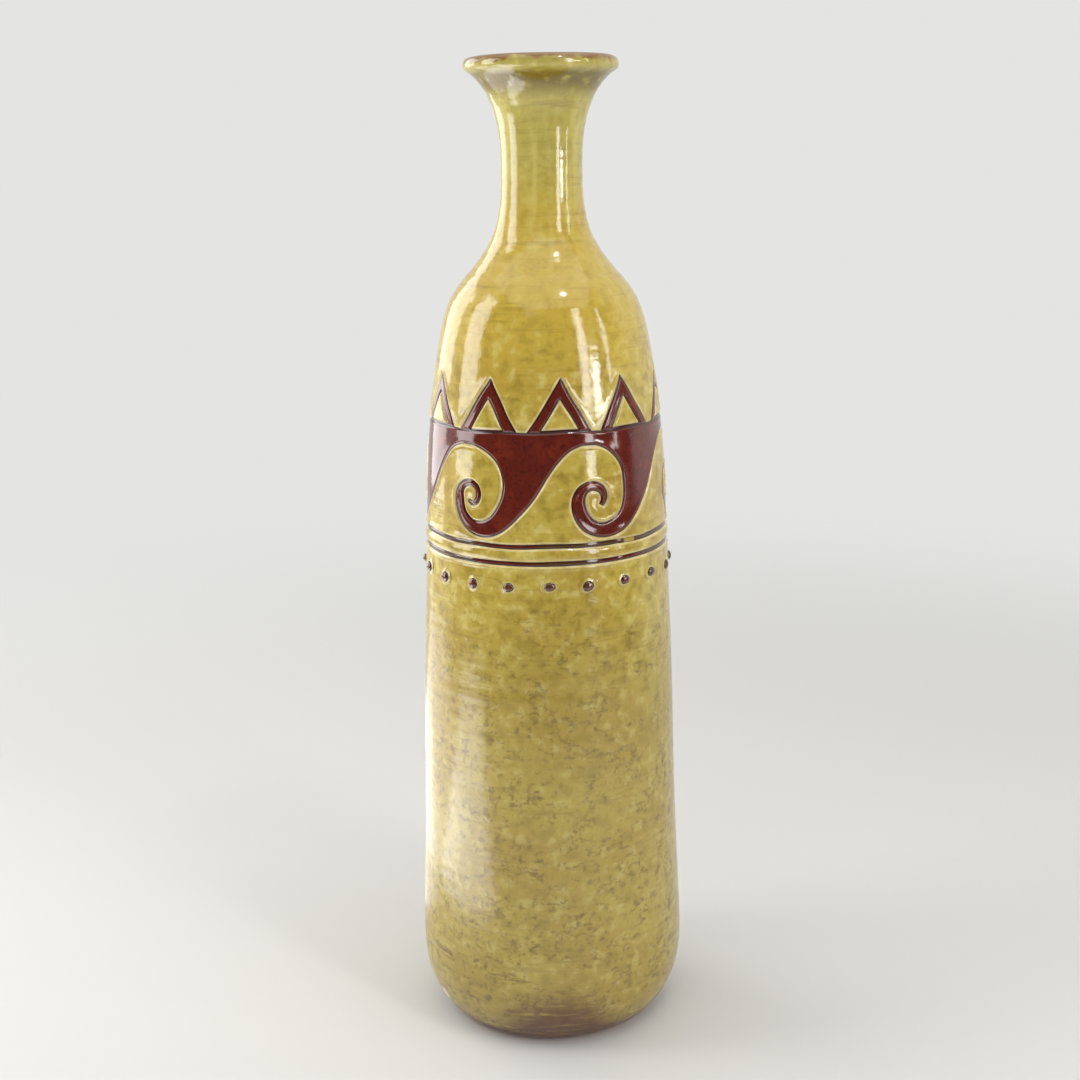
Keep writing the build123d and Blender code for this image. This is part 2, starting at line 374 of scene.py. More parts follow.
OPEN_SCROLL = Scroll(
    14.7, 0.0,
    (-64, -40, -15, 10, 40, 70, 100, 140, 180, 225, 270, 300),
    (12.3, 10.7, 9.3, 7.1, 5.0, 4.0, 3.7, 3.9, 4.0, 3.6, 3.0, 2.6),
    (20.7, 17.8, 15.4, 13.4, 11.4, 9.7, 8.7, 8.0, 7.5, 6.7, 5.5, 4.5),
)
TIGHT_SCROLL = Scroll(
    16.0, 1.5,
    (-64, -40, -15, 10, 40, 70, 100, 140, 180, 225, 270, 310, 350, 385),
    (12.3, 11.2, 9.8, 7.4, 4.9, 3.7, 3.6, 4.0, 4.3, 3.9, 2.9, 2.2, 1.4, 0.9),
    (21.3, 18.6, 16.2, 13.2, 10.2, 8.5, 7.5, 6.9, 6.5, 6.0, 5.3, 4.4, 3.3, 2.3),
)


@dataclass
class RunningWave:
    """The brown band of scrolls that hang from a strip, one after another round the vase."""

    first_turn: float = 22.3
    radius: float = 48.5
    floor: float = 218.0
    crest_top: float = 254.3
    crest_size: float = 15.0
    crest_offset: float = 1.6
    hollow_crest: tuple[float, ...] = (80, 60, 40, 20, 0)
    back_crest: tuple[float, ...] = (145, 120, 100)
    scrolls: tuple[Scroll, ...] = (
        OPEN_SCROLL, TIGHT_SCROLL, OPEN_SCROLL, TIGHT_SCROLL, OPEN_SCROLL, TIGHT_SCROLL)
    span_steps: int = 14

    def _on_crest(self, angle: float, widen: float, along: float = 0.0) -> tuple[float, float]:
        """Point of the round crest, along the wall from the eye and up."""
        x = along - self.crest_offset + (self.crest_size + widen) * math.cos(math.radians(angle))
        return x, self.crest_top - self.crest_size + self.crest_size * math.sin(math.radians(angle))

    def lower_edge(self) -> list[np.ndarray]:
        """Runs of the band's lower edge, once round the vase.

        Returns:
            Turn and height of each run's points; a run starts where the last one ends.
        """
        count = len(self.scrolls)
        pitch = FULL_TURN * self.radius / count
        runs = []
        for index, scroll in enumerate(self.scrolls):
            eye = self.floor + scroll.eye_rise
            beside = self.scrolls[(index + 1) % count]
            hollow = [self._on_crest(angle, scroll.widen) for angle in self.hollow_crest]
            hollow += scroll.tail(scroll.inner, eye)
            back = scroll.tail(scroll.outer, eye)[::-1]
            back += [self._on_crest(angle, 0.0, pitch) for angle in self.back_crest]
            flat = [back[-1], self._on_crest(self.hollow_crest[0], beside.widen, pitch)]
            tip = [hollow[-1], back[0]]
            middle = math.radians(self.first_turn) + index * FULL_TURN / count
            for points in (hollow, tip, back, flat):
                run = np.array(points)
                if len(run) > 2:
                    run = smooth_line(run, self.span_steps)
                runs.append(np.column_stack((middle + run[:, 0] / self.radius, run[:, 1])))
        return runs


@dataclass
class TriangleRow:
    """The row of open triangles that stands on the band."""

    count: int = 10
    first_turn: float = 6.7
    radius: float = 47.1
    base: float = 259.5
    height: float = 20.5
    gap: float = 4.0
    leg: float = 4.1
    bar: float = 0.8
    leans: tuple[float, ...] = (1.0, -1.0, 0.4, -0.6, 0.8, 0.0, -0.8, 0.5, -0.3, 0.9)

    def _middle(self, index: int) -> float:
        """Turn of a triangle's middle."""
        return math.radians(self.first_turn) + index * FULL_TURN / self.count

    def _half(self) -> float:
        """Half the width of a triangle's foot."""
        return (FULL_TURN * self.radius / self.count - self.gap) / 2

    def _corners(self, index: int, half: float, low: float, high: float) -> np.ndarray:
        """Left corner, apex and right corner of a triangle."""
        turn = half / self.radius
        lean = self.leans[index] * high / self.height / self.radius
        points = np.array(((-turn, low), (lean, high), (turn, low)))
        return points + (self._middle(index), self.base)

    def legs(self, index: int) -> np.ndarray:
        """Outside of a triangle's two legs, from foot to foot."""
        return self._corners(index, self._half(), 0, self.height)

    def centre(self, index: int) -> np.ndarray:
        """Corners of the yellow centre between the legs and over the bar."""
        half = self._half()
        slant = math.hypot(half, self.height)
        high = self.height - self.leg * slant / half
        return self._corners(index, (high - self.bar) * half / self.height, self.bar, high)

    def base_line(self) -> list[np.ndarray]:
        """Runs of the line that the triangles stand on, once round the vase."""
        feet = [foot for index in range(self.count) for foot in self.legs(index)[[0, 2]]]
        feet.append(feet[0] + (FULL_TURN, 0))
        return [np.array(pair) for pair in zip(feet, feet[1:])]


@dataclass
class RingLines:
    """The two lines cut round the vase under the band."""

    middle: float = 212.0
    spacing: float = 6.8
    width: float = 1.6

    def edges(self) -> list[float]:
        """Heights of the lines' edges, from the lowest up."""
        return [self.middle + side * self.spacing / 2 + edge * self.width / 2
                for side in (-1, 1) for edge in (-1, 1)]


@dataclass
class Net:
    """Triangles over the ornament.

    Attributes:
        cut: Turn and height of each corner, one a row.
        key: Number of the cut point that a corner is, or of the free point past them.
        faces: Three corners a row, turning the way that faces the clay.
        zone: Name of the piece that each triangle belongs to.
    """

    cut: np.ndarray
    key: np.ndarray
    faces: np.ndarray
    zone: np.ndarray


@dataclass
class Ornament:
    """All cut lines between the pellets and the shoulder, and the glazes that they part.

    The sheet of glaze is laid out flat as a ring, so that it closes on itself, and is divided into
    triangles whose sides follow the cut lines.

    Attributes:
        wall: The clay that the lines are cut on.
        wave: The brown band.
        triangles: The row of triangles on it.
        rings: The lines under it.
        top: Height where the plain rows of the shoulder and neck start.
        columns: Places in such a row.
        step: Distance of points along a cut line.
        rows: Distances from a cut line of the rows of points beside it.
        fill: Distance of points in the fields.
        back_fill: The same on the clay.
        seat: Least room between two points.
        dense: Lookup points in each step of a cut line.
        cell: Share of the first row's distance within which points count as one.
        same_point: Distance below which the division joins points.
    """

    wall: ThrownWall
    wave: RunningWave = field(default_factory=RunningWave)
    triangles: TriangleRow = field(default_factory=TriangleRow)
    rings: RingLines = field(default_factory=RingLines)
    top: float = 284.0
    columns: int = 220
    step: float = 0.55
    rows: tuple[float, ...] = (0.16, 0.34, 0.54, 0.8, 1.1, 1.5, 2.0)
    fill: float = 1.7
    back_fill: float = 6.0
    seat: float = 0.05
    dense: int = 5
    cell: float = 0.9
    same_point: float = 1e-4
    wobble: HandWobble = field(init=False)
    cuts: dict[str, Stroke] = field(init=False, repr=False)
    rim: Stroke = field(init=False, repr=False)
    tree: KDTree = field(init=False, repr=False)

    def __post_init__(self) -> None:
        """Draw the cut lines and make the lookup of distances to them."""
        self.wobble = HandWobble(self.rings.edges()[0])
        self.cuts = {}
        for index, height in enumerate(self.rings.edges()):
            self.cuts[f"ring_{index}"] = self._round([np.array(((0, height), (FULL_TURN, height)))])
        self.cuts["wave"] = self._round(self.wave.lower_edge())
        self.cuts["base"] = self._round(self.triangles.base_line())
        for index in range(self.triangles.count):
            legs = self.triangles.legs(index)
            centre = self.triangles.centre(index)
            self.cuts[f"legs_{index}"] = Stroke(self._drawn([legs[:2], legs[1:]]))
            sides = [centre[[corner, (corner + 1) % 3]] for corner in range(3)]
            self.cuts[f"centre_{index}"] = Stroke(self._drawn(sides)[:-1], closed=True)
        turns = np.arange(self.columns) * FULL_TURN / self.columns
        self.rim = Stroke(np.column_stack((turns, np.full(self.columns, self.top))), True, FULL_TURN)
        self._index_cuts()

    def _drawn(self, runs: list[np.ndarray]) -> np.ndarray:
        """One line through runs, spaced evenly on each and unsteady as a hand cuts it."""
        points = []
        for run in runs:
            radius = float(self.wall.radius_at(run[:, 1].mean()))
            scale = np.array((radius, 1.0))
            points.append(spaced(run * scale, self.step)[:-1] / scale)
        points.append(runs[-1][-1:])
        line = np.vstack(points)
        return self.wobble.bend(line, self.wall.radius_at(line[:, 1]))

    def _round(self, runs: list[np.ndarray]) -> Stroke:
        """Line that closes round the vase."""
        return Stroke(self._drawn(runs)[:-1], True, FULL_TURN)

    def _index_cuts(self) -> None:
        """Lookup of dense points along every cut line."""
        dense = []
        for stroke in self.cuts.values():
            line = stroke.looped()
            for share in np.arange(self.dense) / self.dense:
                dense.append(line[:-1] + share * np.diff(line, axis=0))
        points = self._on_clay(np.vstack(dense))
        self.tree = KDTree(len(points))
        for index, point in enumerate(points.tolist()):
            self.tree.insert(point, index)
        self.tree.balance()

    def _on_clay(self, cut: np.ndarray) -> np.ndarray:
        """Points in space of places on the clay."""
        return self.wall.place(cut[:, 0], self.wall.arc_at(cut[:, 1]), 0.0)

    def gap(self, cut: np.ndarray) -> np.ndarray:
        """Distances of places to the nearest cut line."""
        return np.array([self.tree.find(point)[2] for point in self._on_clay(cut).tolist()])

    def _free_points(self) -> np.ndarray:
        """Places beside the cut lines, in rows, and places that fill the fields between."""
        found = []
        for stroke in self.cuts.values():
            radius = self.wall.radius_at(stroke.cut[:, 1])
            for row in self.rows:
                for side in (-row, row):
                    near = stroke.beside(side, radius)
                    found.append(near[self.gap(near) > row - self.seat])
        found.append(self._filled(self.fill, self.rows[-1] + self.fill / 2))
        points = np.vstack(found)
        lowest = self.rings.edges()[0]
        inside = (points[:, 1] > lowest + self.seat) & (points[:, 1] < self.top - self.fill / 2)
        points = points[inside]
        points[:, 0] %= FULL_TURN
        cell = self.rows[0] * self.cell
        coarse = np.round(points * (float(self.wall.radius_at(self.rings.middle)), 1.0) / cell)
        _, first = np.unique(coarse, axis=0, return_index=True)
        return points[np.sort(first)]

    def _filled(self, spacing: float, clear: float) -> np.ndarray:
        """Places in staggered rows, clear of the cut lines.

        Args:
            spacing: Distance between places.
            clear: Least distance to a cut line.

        Returns:
            Turn and height of each place, one a row.
        """
        low = self.rings.edges()[0]
        heights = np.arange(low + spacing, self.top - spacing / 2, spacing * math.sin(math.pi / 3))
        count = round(FULL_TURN * self.wave.radius / spacing)
        turns = np.arange(count) * FULL_TURN / count
        places = [np.column_stack((turns + (row % 2) * math.pi / count, np.full(count, height)))
                  for row, height in enumerate(heights)]
        points = np.vstack(places)
        return points[self.gap(points) > clear]

    def net(self, back: bool) -> Net:
        """Triangles over the whole ornament.

        Args:
            back: Whether they are the few on the clay, or the many on the glaze's face.

        Returns:
            The net, with a piece's name for each triangle.
        """
        strokes = [*self.cuts.values(), self.rim]
        edges = []
        count = 0
        for stroke in strokes:
            size = len(stroke.cut)
            last = size if stroke.closed else size - 1
            edges += [(count + index, count + (index + 1) % size) for index in range(last)]
            count += size
        free = self._filled(self.back_fill, self.back_fill / 2) if back else self._free_points()
        cut = np.vstack([*(stroke.cut for stroke in strokes), free])
        spread = self.wave.radius * np.exp((cut[:, 1] - self.rings.middle) / self.wave.radius)
        flat = np.column_stack((spread * np.cos(cut[:, 0]), spread * np.sin(cut[:, 0])))
        points = [Vector(point) for point in flat.tolist()]
        found = delaunay_2d_cdt(points, edges, [], 0, self.same_point)
        key = np.array([min(source) for source in found[3]])
        faces = np.array(found[2])
        in_hole = np.all(key[faces] < len(self.cuts["ring_0"].cut), axis=1)
        faces = faces[~in_hole]
        fixed = np.array([edge for edge, source in zip(found[1], found[4]) if source])
        zone = self._zones(cut[key], faces, fixed)
        return Net(cut[key], key, faces, zone)

    def _zones(self, cut: np.ndarray, faces: np.ndarray, fixed: np.ndarray) -> np.ndarray:
        """Name of the piece of each triangle.

        Args:
            cut: Turn and height of the corners.
            faces: Corners of the triangles.
            fixed: Corner pairs on the cut lines, which part the pieces.

        Returns:
            The names, one a triangle.
        """
        corners = len(cut)
        pairs = np.sort(np.vstack((faces[:, [0, 1]], faces[:, [1, 2]], faces[:, [2, 0]])), axis=1)
        code = pairs[:, 0].astype(np.int64) * corners + pairs[:, 1]
        fixed = np.sort(fixed, axis=1).astype(np.int64)
        open_side = ~np.isin(code, fixed[:, 0] * corners + fixed[:, 1])
        owner = np.tile(np.arange(len(faces)), 3)[open_side]
        order = np.argsort(code[open_side], kind="stable")
        ordered = code[open_side][order]
        twin = np.flatnonzero(ordered[1:] == ordered[:-1])
        parent = list(range(len(faces)))

        def root(face: int) -> int:
            """First triangle of the patch that a triangle belongs to."""
            while parent[face] != face:
                parent[face] = parent[parent[face]]
                face = parent[face]
            return face

        for one, other in zip(owner[order[twin]].tolist(), owner[order[twin + 1]].tolist()):
            parent[root(one)] = root(other)
        patch = np.array([root(face) for face in range(len(faces))])
        zone = np.empty(len(faces), dtype=object)
        for head in np.unique(patch):
            corner = cut[faces[head]]
            turn = corner[0, 0] + wrapped(corner[:, 0] - corner[0, 0]).mean()
            zone[patch == head] = self._name(turn, corner[:, 1].mean())
        return zone

    def _name(self, turn: float, height: float) -> str:
        """Name of the piece at a place."""
        if self.cuts["base"].under(turn, height):
            if not self.cuts["wave"].under(turn, height):
                return "wave_frieze"
            names = ("lower_coat", "lower_ring_line", "ring_coat", "upper_ring_line")
            for index, name in enumerate(names):
                if self.cuts[f"ring_{index}"].under(turn, height):
                    return name
            return "frieze_coat"
        count = self.triangles.count
        index = round(wrapped(turn - math.radians(self.triangles.first_turn)) / FULL_TURN * count) % count
        if self.cuts[f"centre_{index}"].under(turn, height):
            return f"triangle_centre_{index + 1:02d}"
        legs = self.cuts[f"legs_{index}"]
        if Stroke(legs.cut, closed=True).under(turn, height):
            return f"triangle_{index + 1:02d}"
        return "upper_coat"


@dataclass
class Sheet:
    """One side of a coat: its corners on the wall, and its faces.

    Attributes:
        turn: Turn of each corner.
        arc: Arc length of each corner up the wall.
        gap: Distance of each corner to the nearest cut line.
        key: Number by which the corners of a coat's two sides find each other.
        faces: Corners of the faces, turning the way that faces the clay.
    """

    turn: np.ndarray
    arc: np.ndarray
    gap: np.ndarray
    key: np.ndarray
    faces: list[tuple[int, ...]]


def finished_piece(name: str, points: np.ndarray, faces: list[tuple[int, ...]], edge: np.ndarray,
                   sharp: set[tuple[int, int]], material: bpy.types.Material) -> bpy.types.Object:
    """Piece of the vase from its points and faces.

    Args:
        name: Name of the piece.
        points: Points in millimetres, one a row.
        faces: Corners of each face.
        edge: Distance of each point to the nearest cut line.
        sharp: Corner pairs, lower number first, where the face turns sharply.
        material: The finish.

    Returns:
        The object, in the scene.
    """
    mesh = bpy.data.meshes.new(name)
    mesh.from_pydata((points * MM).tolist(), [], faces)
    mesh.shade_smooth()
    mesh.attributes.new(EDGE, "FLOAT", "POINT").data.foreach_set("value", edge.astype(np.float32))
    ends = np.empty(2 * len(mesh.edges), dtype=np.int32)
    mesh.edges.foreach_get("vertices", ends)
    pairs = np.sort(ends.reshape(-1, 2), axis=1).tolist()
    flags = np.array([tuple(pair) in sharp for pair in pairs])
    mesh.attributes.new("sharp_edge", "BOOLEAN", "EDGE").data.foreach_set("value", flags)
    mesh.materials.append(material)
    mesh.validate()
    piece = bpy.data.objects.new(name, mesh)
    bpy.context.scene.collection.objects.link(piece)
    return piece


def settle(piece: bpy.types.Object, slot: Slot, *nodes: str) -> None:
    """Seat a piece on the vase.

    Args:
        piece: The finished piece.
        slot: Not used.
        nodes: Solids of the frame that it stands for.
    """
    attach(piece, BODY)
    if nodes:
        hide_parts(*nodes)
    log.info("%s: %d faces", piece.name, len(piece.data.polygons))


@dataclass
class ThrowingMarks:
    """Soft rings that the fingers leave on the wall, and its slight unevenness.

    Attributes:
        ring: Height of a ring.
        spacing: Distance from ring to ring.
        sway: Height of the unevenness.
        tilt: Share of the spacing by which a ring tilts.
        second: Height and pace of a second set of rings, as shares of the first.
        sway_second: Share of the second, shorter unevenness.
        sway_rise: Heights up the wall over which the two kinds of unevenness turn.
    """

    ring: float = 0.05
    spacing: float = 4.3
    sway: float = 0.16
    tilt: float = 0.08
    second: Span = (0.7, 0.618)
    sway_second: float = 0.6
    sway_rise: Span = (31.0, 23.0)

    def lift(self, turn: np.ndarray, height: np.ndarray) -> np.ndarray:
        """Height of the marks at places on the wall."""
        climb = height / self.spacing + self.tilt * np.sin(turn + 0.5)
        share, pace = self.second
        rings = np.sin(FULL_TURN * climb) + share * np.sin(FULL_TURN * climb * pace + 1.0)
        long, short = self.sway_rise
        uneven = np.sin(2 * turn + height / long) + self.sway_second * np.sin(3 * turn - height / short + 2.0)
        return self.ring * rings + self.sway * uneven


@dataclass
class OrnamentGlazes:
    """The glazes of the ornament, each a closed skin on the clay.

    Attributes:
        ornament: The cut lines.
        yellow: Finish of the fields.
        brown: Finish of the band, the triangles and the ring lines.
        field_edge: Edge of the yellow fields.
        brown_edge: Edge of the band and the triangles.
        band_edge: Edge of the raised yellow ring.
        line_edge: Edge of the sunken ring lines.
        marks: Throwing marks on the shoulder and neck.
        marks_start: Arc over which the marks come in.
        row: Height of a row on the neck's face.
        back_row: The same on the clay.
        lip_row: Height of a row over the lip.
        far: Distance to a cut line that is as good as none.
    """

    ornament: Ornament
    yellow: bpy.types.Material
    brown: bpy.types.Material
    field_edge: CutEdge = CutEdge(level=0.8, swell=0.2, swell_at=1.05, swell_width=0.6, cut_width=0.5)
    brown_edge: CutEdge = CutEdge(level=0.6, swell=0.1, swell_at=1.2, swell_width=0.6, cut_width=0.5)
    band_edge: CutEdge = CutEdge(level=0.75, swell=0.4, swell_at=2.6, swell_width=1.6, cut_width=0.5)
    line_edge: CutEdge = CutEdge(level=0.3, swell=0.0, swell_at=1.0, swell_width=1.0, cut_width=0.5)
    marks: ThrowingMarks = field(default_factory=ThrowingMarks)
    marks_start: float = 16.0
    row: float = 1.8
    back_row: float = 6.0
    lip_row: float = 0.35
    far: float = 20.0

    def _edge_of(self, name: str) -> CutEdge:
        """How the glaze of a piece stands beside its cut lines."""
        if name == "ring_coat":
            return self.band_edge
        if name.endswith("ring_line"):
            return self.line_edge
        if name.endswith("coat") or name.startswith("triangle_centre"):
            return self.field_edge
        return self.brown_edge

    def _patch(self, net: Net, name: str) -> Sheet:
        """The part of a net that a piece covers."""
        faces = net.faces[net.zone == name]
        used, corners = np.unique(faces, return_inverse=True)
        cut = net.cut[used]
        gap = np.where(net.key[used] < self._cut_count(), 0.0, self.ornament.gap(cut))
        sheet_faces = [tuple(face) for face in corners.reshape(faces.shape).tolist()]
        return Sheet(cut[:, 0], self.ornament.wall.arc_at(cut[:, 1]), gap, net.key[used], sheet_faces)

    def _cut_count(self) -> int:
        """Number of points on the cut lines."""
        return sum(len(stroke.cut) for stroke in self.ornament.cuts.values())

    def _grown(self, sheet: Sheet, row: float) -> Sheet:
        """A sheet carried on from its rim up the neck and over the lip.

        Args:
            sheet: The sheet to carry on.
            row: Height of a row on the neck.

        Returns:
            The longer sheet.
        """
        wall = self.ornament.wall
        columns = self.ornament.columns
        first = self._cut_count()
        place = {key: index for index, key in enumerate(sheet.key.tolist())}
        low = [place[first + column] for column in range(columns)]
        start = float(wall.arc_at(self.ornament.top))
        end = wall.arc[-1]
        neck = np.linspace(start, wall.lip_arc, round((wall.lip_arc - start) / row) + 1)[1:]
        over = np.linspace(wall.lip_arc, end, round((end - wall.lip_arc) / self.lip_row) + 1)[1:]
        arcs = np.concatenate((neck, over))
        turns = np.arange(columns) * FULL_TURN / columns
        faces = list(sheet.faces)
        count = len(sheet.turn)
        for index in range(len(arcs)):
            high = [count + index * columns + column for column in range(columns)]
            for column in range(columns):
                beside = (column + 1) % columns
                faces.append((low[column], high[column], high[beside], low[beside]))
            low = high
        new = len(arcs) * columns
        key = np.full(new, -1)
        key[-columns:] = -2 - np.arange(columns)
        return Sheet(
            np.concatenate((sheet.turn, np.tile(turns, len(arcs)))),
            np.concatenate((sheet.arc, np.repeat(arcs, columns))),
            np.concatenate((sheet.gap, np.full(new, self.far))),
            np.concatenate((sheet.key, key)),
            faces,
        )

    def _lift(self, name: str, face: Sheet) -> np.ndarray:
        """Height of a piece's face above the clay."""
        lift = self._edge_of(name).lift(face.gap)
        if name == "upper_coat":
            past = face.arc - self.ornament.wall.arc_at(self.ornament.top)
            share = np.clip(past / self.marks_start, 0, 1)
            height = self.ornament.wall.section(face.arc, 0.0)[:, 1]
            lift = lift + share * self.marks.lift(face.turn, height)
        return lift

    def _skin(self, name: str, face: Sheet, back: Sheet, material: bpy.types.Material) -> bpy.types.Object:
        """Closed skin from a coat's face and its back on the clay.

        Args:
            name: Name of the piece.
            face: The side that shows.
            back: The side on the clay.
            material: The finish.

        Returns:
            The piece.
        """
        wall = self.ornament.wall
        count = len(face.turn)
        twin = {key: count + index for index, key in enumerate(back.key.tolist())}
        faces = [corners[::-1] for corners in face.faces]
        directed = set()
        for corners in faces:
            directed.update(zip(corners, (*corners[1:], corners[0])))
        faces += [tuple(count + corner for corner in corners) for corners in back.faces]
        sharp = set()
        for start, end in directed:
            if (end, start) not in directed:
                inner = (twin[int(face.key[start])], twin[int(face.key[end])])
                faces.append((end, start, *inner))
                sharp.add((min(start, end), max(start, end)))
                sharp.add((min(inner), max(inner)))
        points = np.vstack((
            wall.place(face.turn, face.arc, self._lift(name, face)),
            wall.place(back.turn, back.arc, 0.0),
        ))
        edge = np.concatenate((face.gap, back.gap))
        return finished_piece(f"{name}_glaze", points, faces, edge, sharp, material)

    def build(self) -> None:
        """Make every glaze of the ornament and seat it."""
        front = self.ornament.net(back=False)
        back = self.ornament.net(back=True)
        for name in sorted(set(front.zone)):
            face_side = self._patch(front, name)
            clay_side = self._patch(back, name)
            if name == "upper_coat":
                face_side = self._grown(face_side, self.row)
                clay_side = self._grown(clay_side, self.back_row)
            yellow = self._edge_of(name) in (self.field_edge, self.band_edge)
            piece = self._skin(name, face_side, clay_side, self.yellow if yellow else self.brown)
            settle(piece, Slot.YELLOW if yellow else Slot.BROWN, name)


class NodeDesk:
    """A node tree that is laid out one node at a time."""

    def __init__(self, tree: bpy.types.NodeTree) -> None:
        """Start on a tree."""
        self.tree = tree

    def add(self, kind: str, inputs: dict[int | str, Value] | None = None,
            **settings: object) -> bpy.types.Node:
        """Add a node.

        Args:
            kind: Type of the node.
            inputs: Value, or socket to join, for each of its inputs.
            settings: Its own settings.

        Returns:
            The node.
        """
        node = self.tree.nodes.new(kind)
        for name, setting in settings.items():
            setattr(node, name, setting)
        for name, value in (inputs or {}).items():
            if isinstance(value, Socket):
                self.tree.links.new(value, node.inputs[name])
            else:
                node.inputs[name].default_value = value
        return node

    def calc(self, operation: str, first: Value, second: Value = 0.0, clamp: bool = False) -> Socket:
        """Result of a sum on one or two numbers."""
        inputs = {0: first, 1: second}
        return self.add("ShaderNodeMath", inputs, operation=operation, use_clamp=clamp).outputs[0]

    def band(self, value: Value, low: float, high: float) -> Socket:
        """Share from 0 at low to 1 at high, with soft ends."""
        inputs = {0: value, 1: low, 2: high}
        return self.add("ShaderNodeMapRange", inputs, interpolation_type="SMOOTHSTEP").outputs[0]


class GeometryTree(NodeDesk):
    """A Geometry Nodes tree with named inputs for its sizes."""

    def __init__(self, name: str) -> None:
        """Start a tree with geometry in and out."""
        super().__init__(bpy.data.node_groups.new(name, "GeometryNodeTree"))
        self.tree.interface.new_socket("Geometry", in_out="OUTPUT", socket_type="NodeSocketGeometry")
        self.tree.interface.new_socket("Geometry", in_out="INPUT", socket_type="NodeSocketGeometry")
        self.sizes = self.add("NodeGroupInput")
        self.geometry = self.sizes.outputs["Geometry"]

    def size(self, name: str, kind: str = "NodeSocketFloat") -> Socket:
        """Add a named input and give its socket."""
        self.tree.interface.new_socket(name, in_out="INPUT", socket_type=kind)
        return self.sizes.outputs[name]

    def joined(self, x: Value, y: Value, z: Value) -> Socket:
        """Vector of three numbers."""
        return self.add("ShaderNodeCombineXYZ", {0: x, 1: y, 2: z}).outputs[0]

    def chance(self, least: Value, most: Value, seed: Socket, shift: int) -> Socket:
        """Random number for each point, from a seed and a shift of it."""
        shifted = self.calc("ADD", seed, float(shift))
        node = self.add("FunctionNodeRandomValue", {2: least, 3: most, "Seed": shifted}, data_type="FLOAT")
        return node.outputs[1]

    def end(self, geometry: Socket, material: Socket) -> None:
        """Realize the geometry, give it its finish and send it out."""
        real = self.add("GeometryNodeRealizeInstances", {"Geometry": geometry})
        smooth = self.add("GeometryNodeSetShadeSmooth", {"Geometry": real.outputs[0]})
        dressed = self.add("GeometryNodeSetMaterial", {"Geometry": smooth.outputs[0], "Material": material})
        self.add("NodeGroupOutput", {"Geometry": dressed.outputs[0]})

    def run(self, piece: bpy.types.Object, **sizes: object) -> None:
        """Turn a piece's mesh into the tree's result.

        Args:
            piece: The object, in the scene.
            sizes: Value of each named input, with _ for the spaces in its name.
        """
        modifier = piece.modifiers.new(self.tree.name, "NODES")
        modifier.node_group = self.tree
        names = {name.replace("_", " "): size for name, size in sizes.items()}
        for item in self.tree.interface.items_tree:
            if item.in_out == "INPUT" and item.name in names:
                modifier[item.identifier] = names[item.name]
        graph = bpy.context.evaluated_depsgraph_get()
        mesh = bpy.data.meshes.new_from_object(piece.evaluated_get(graph), depsgraph=graph)
        piece.modifiers.remove(modifier)
        mesh.name = piece.name
        piece.data = mesh


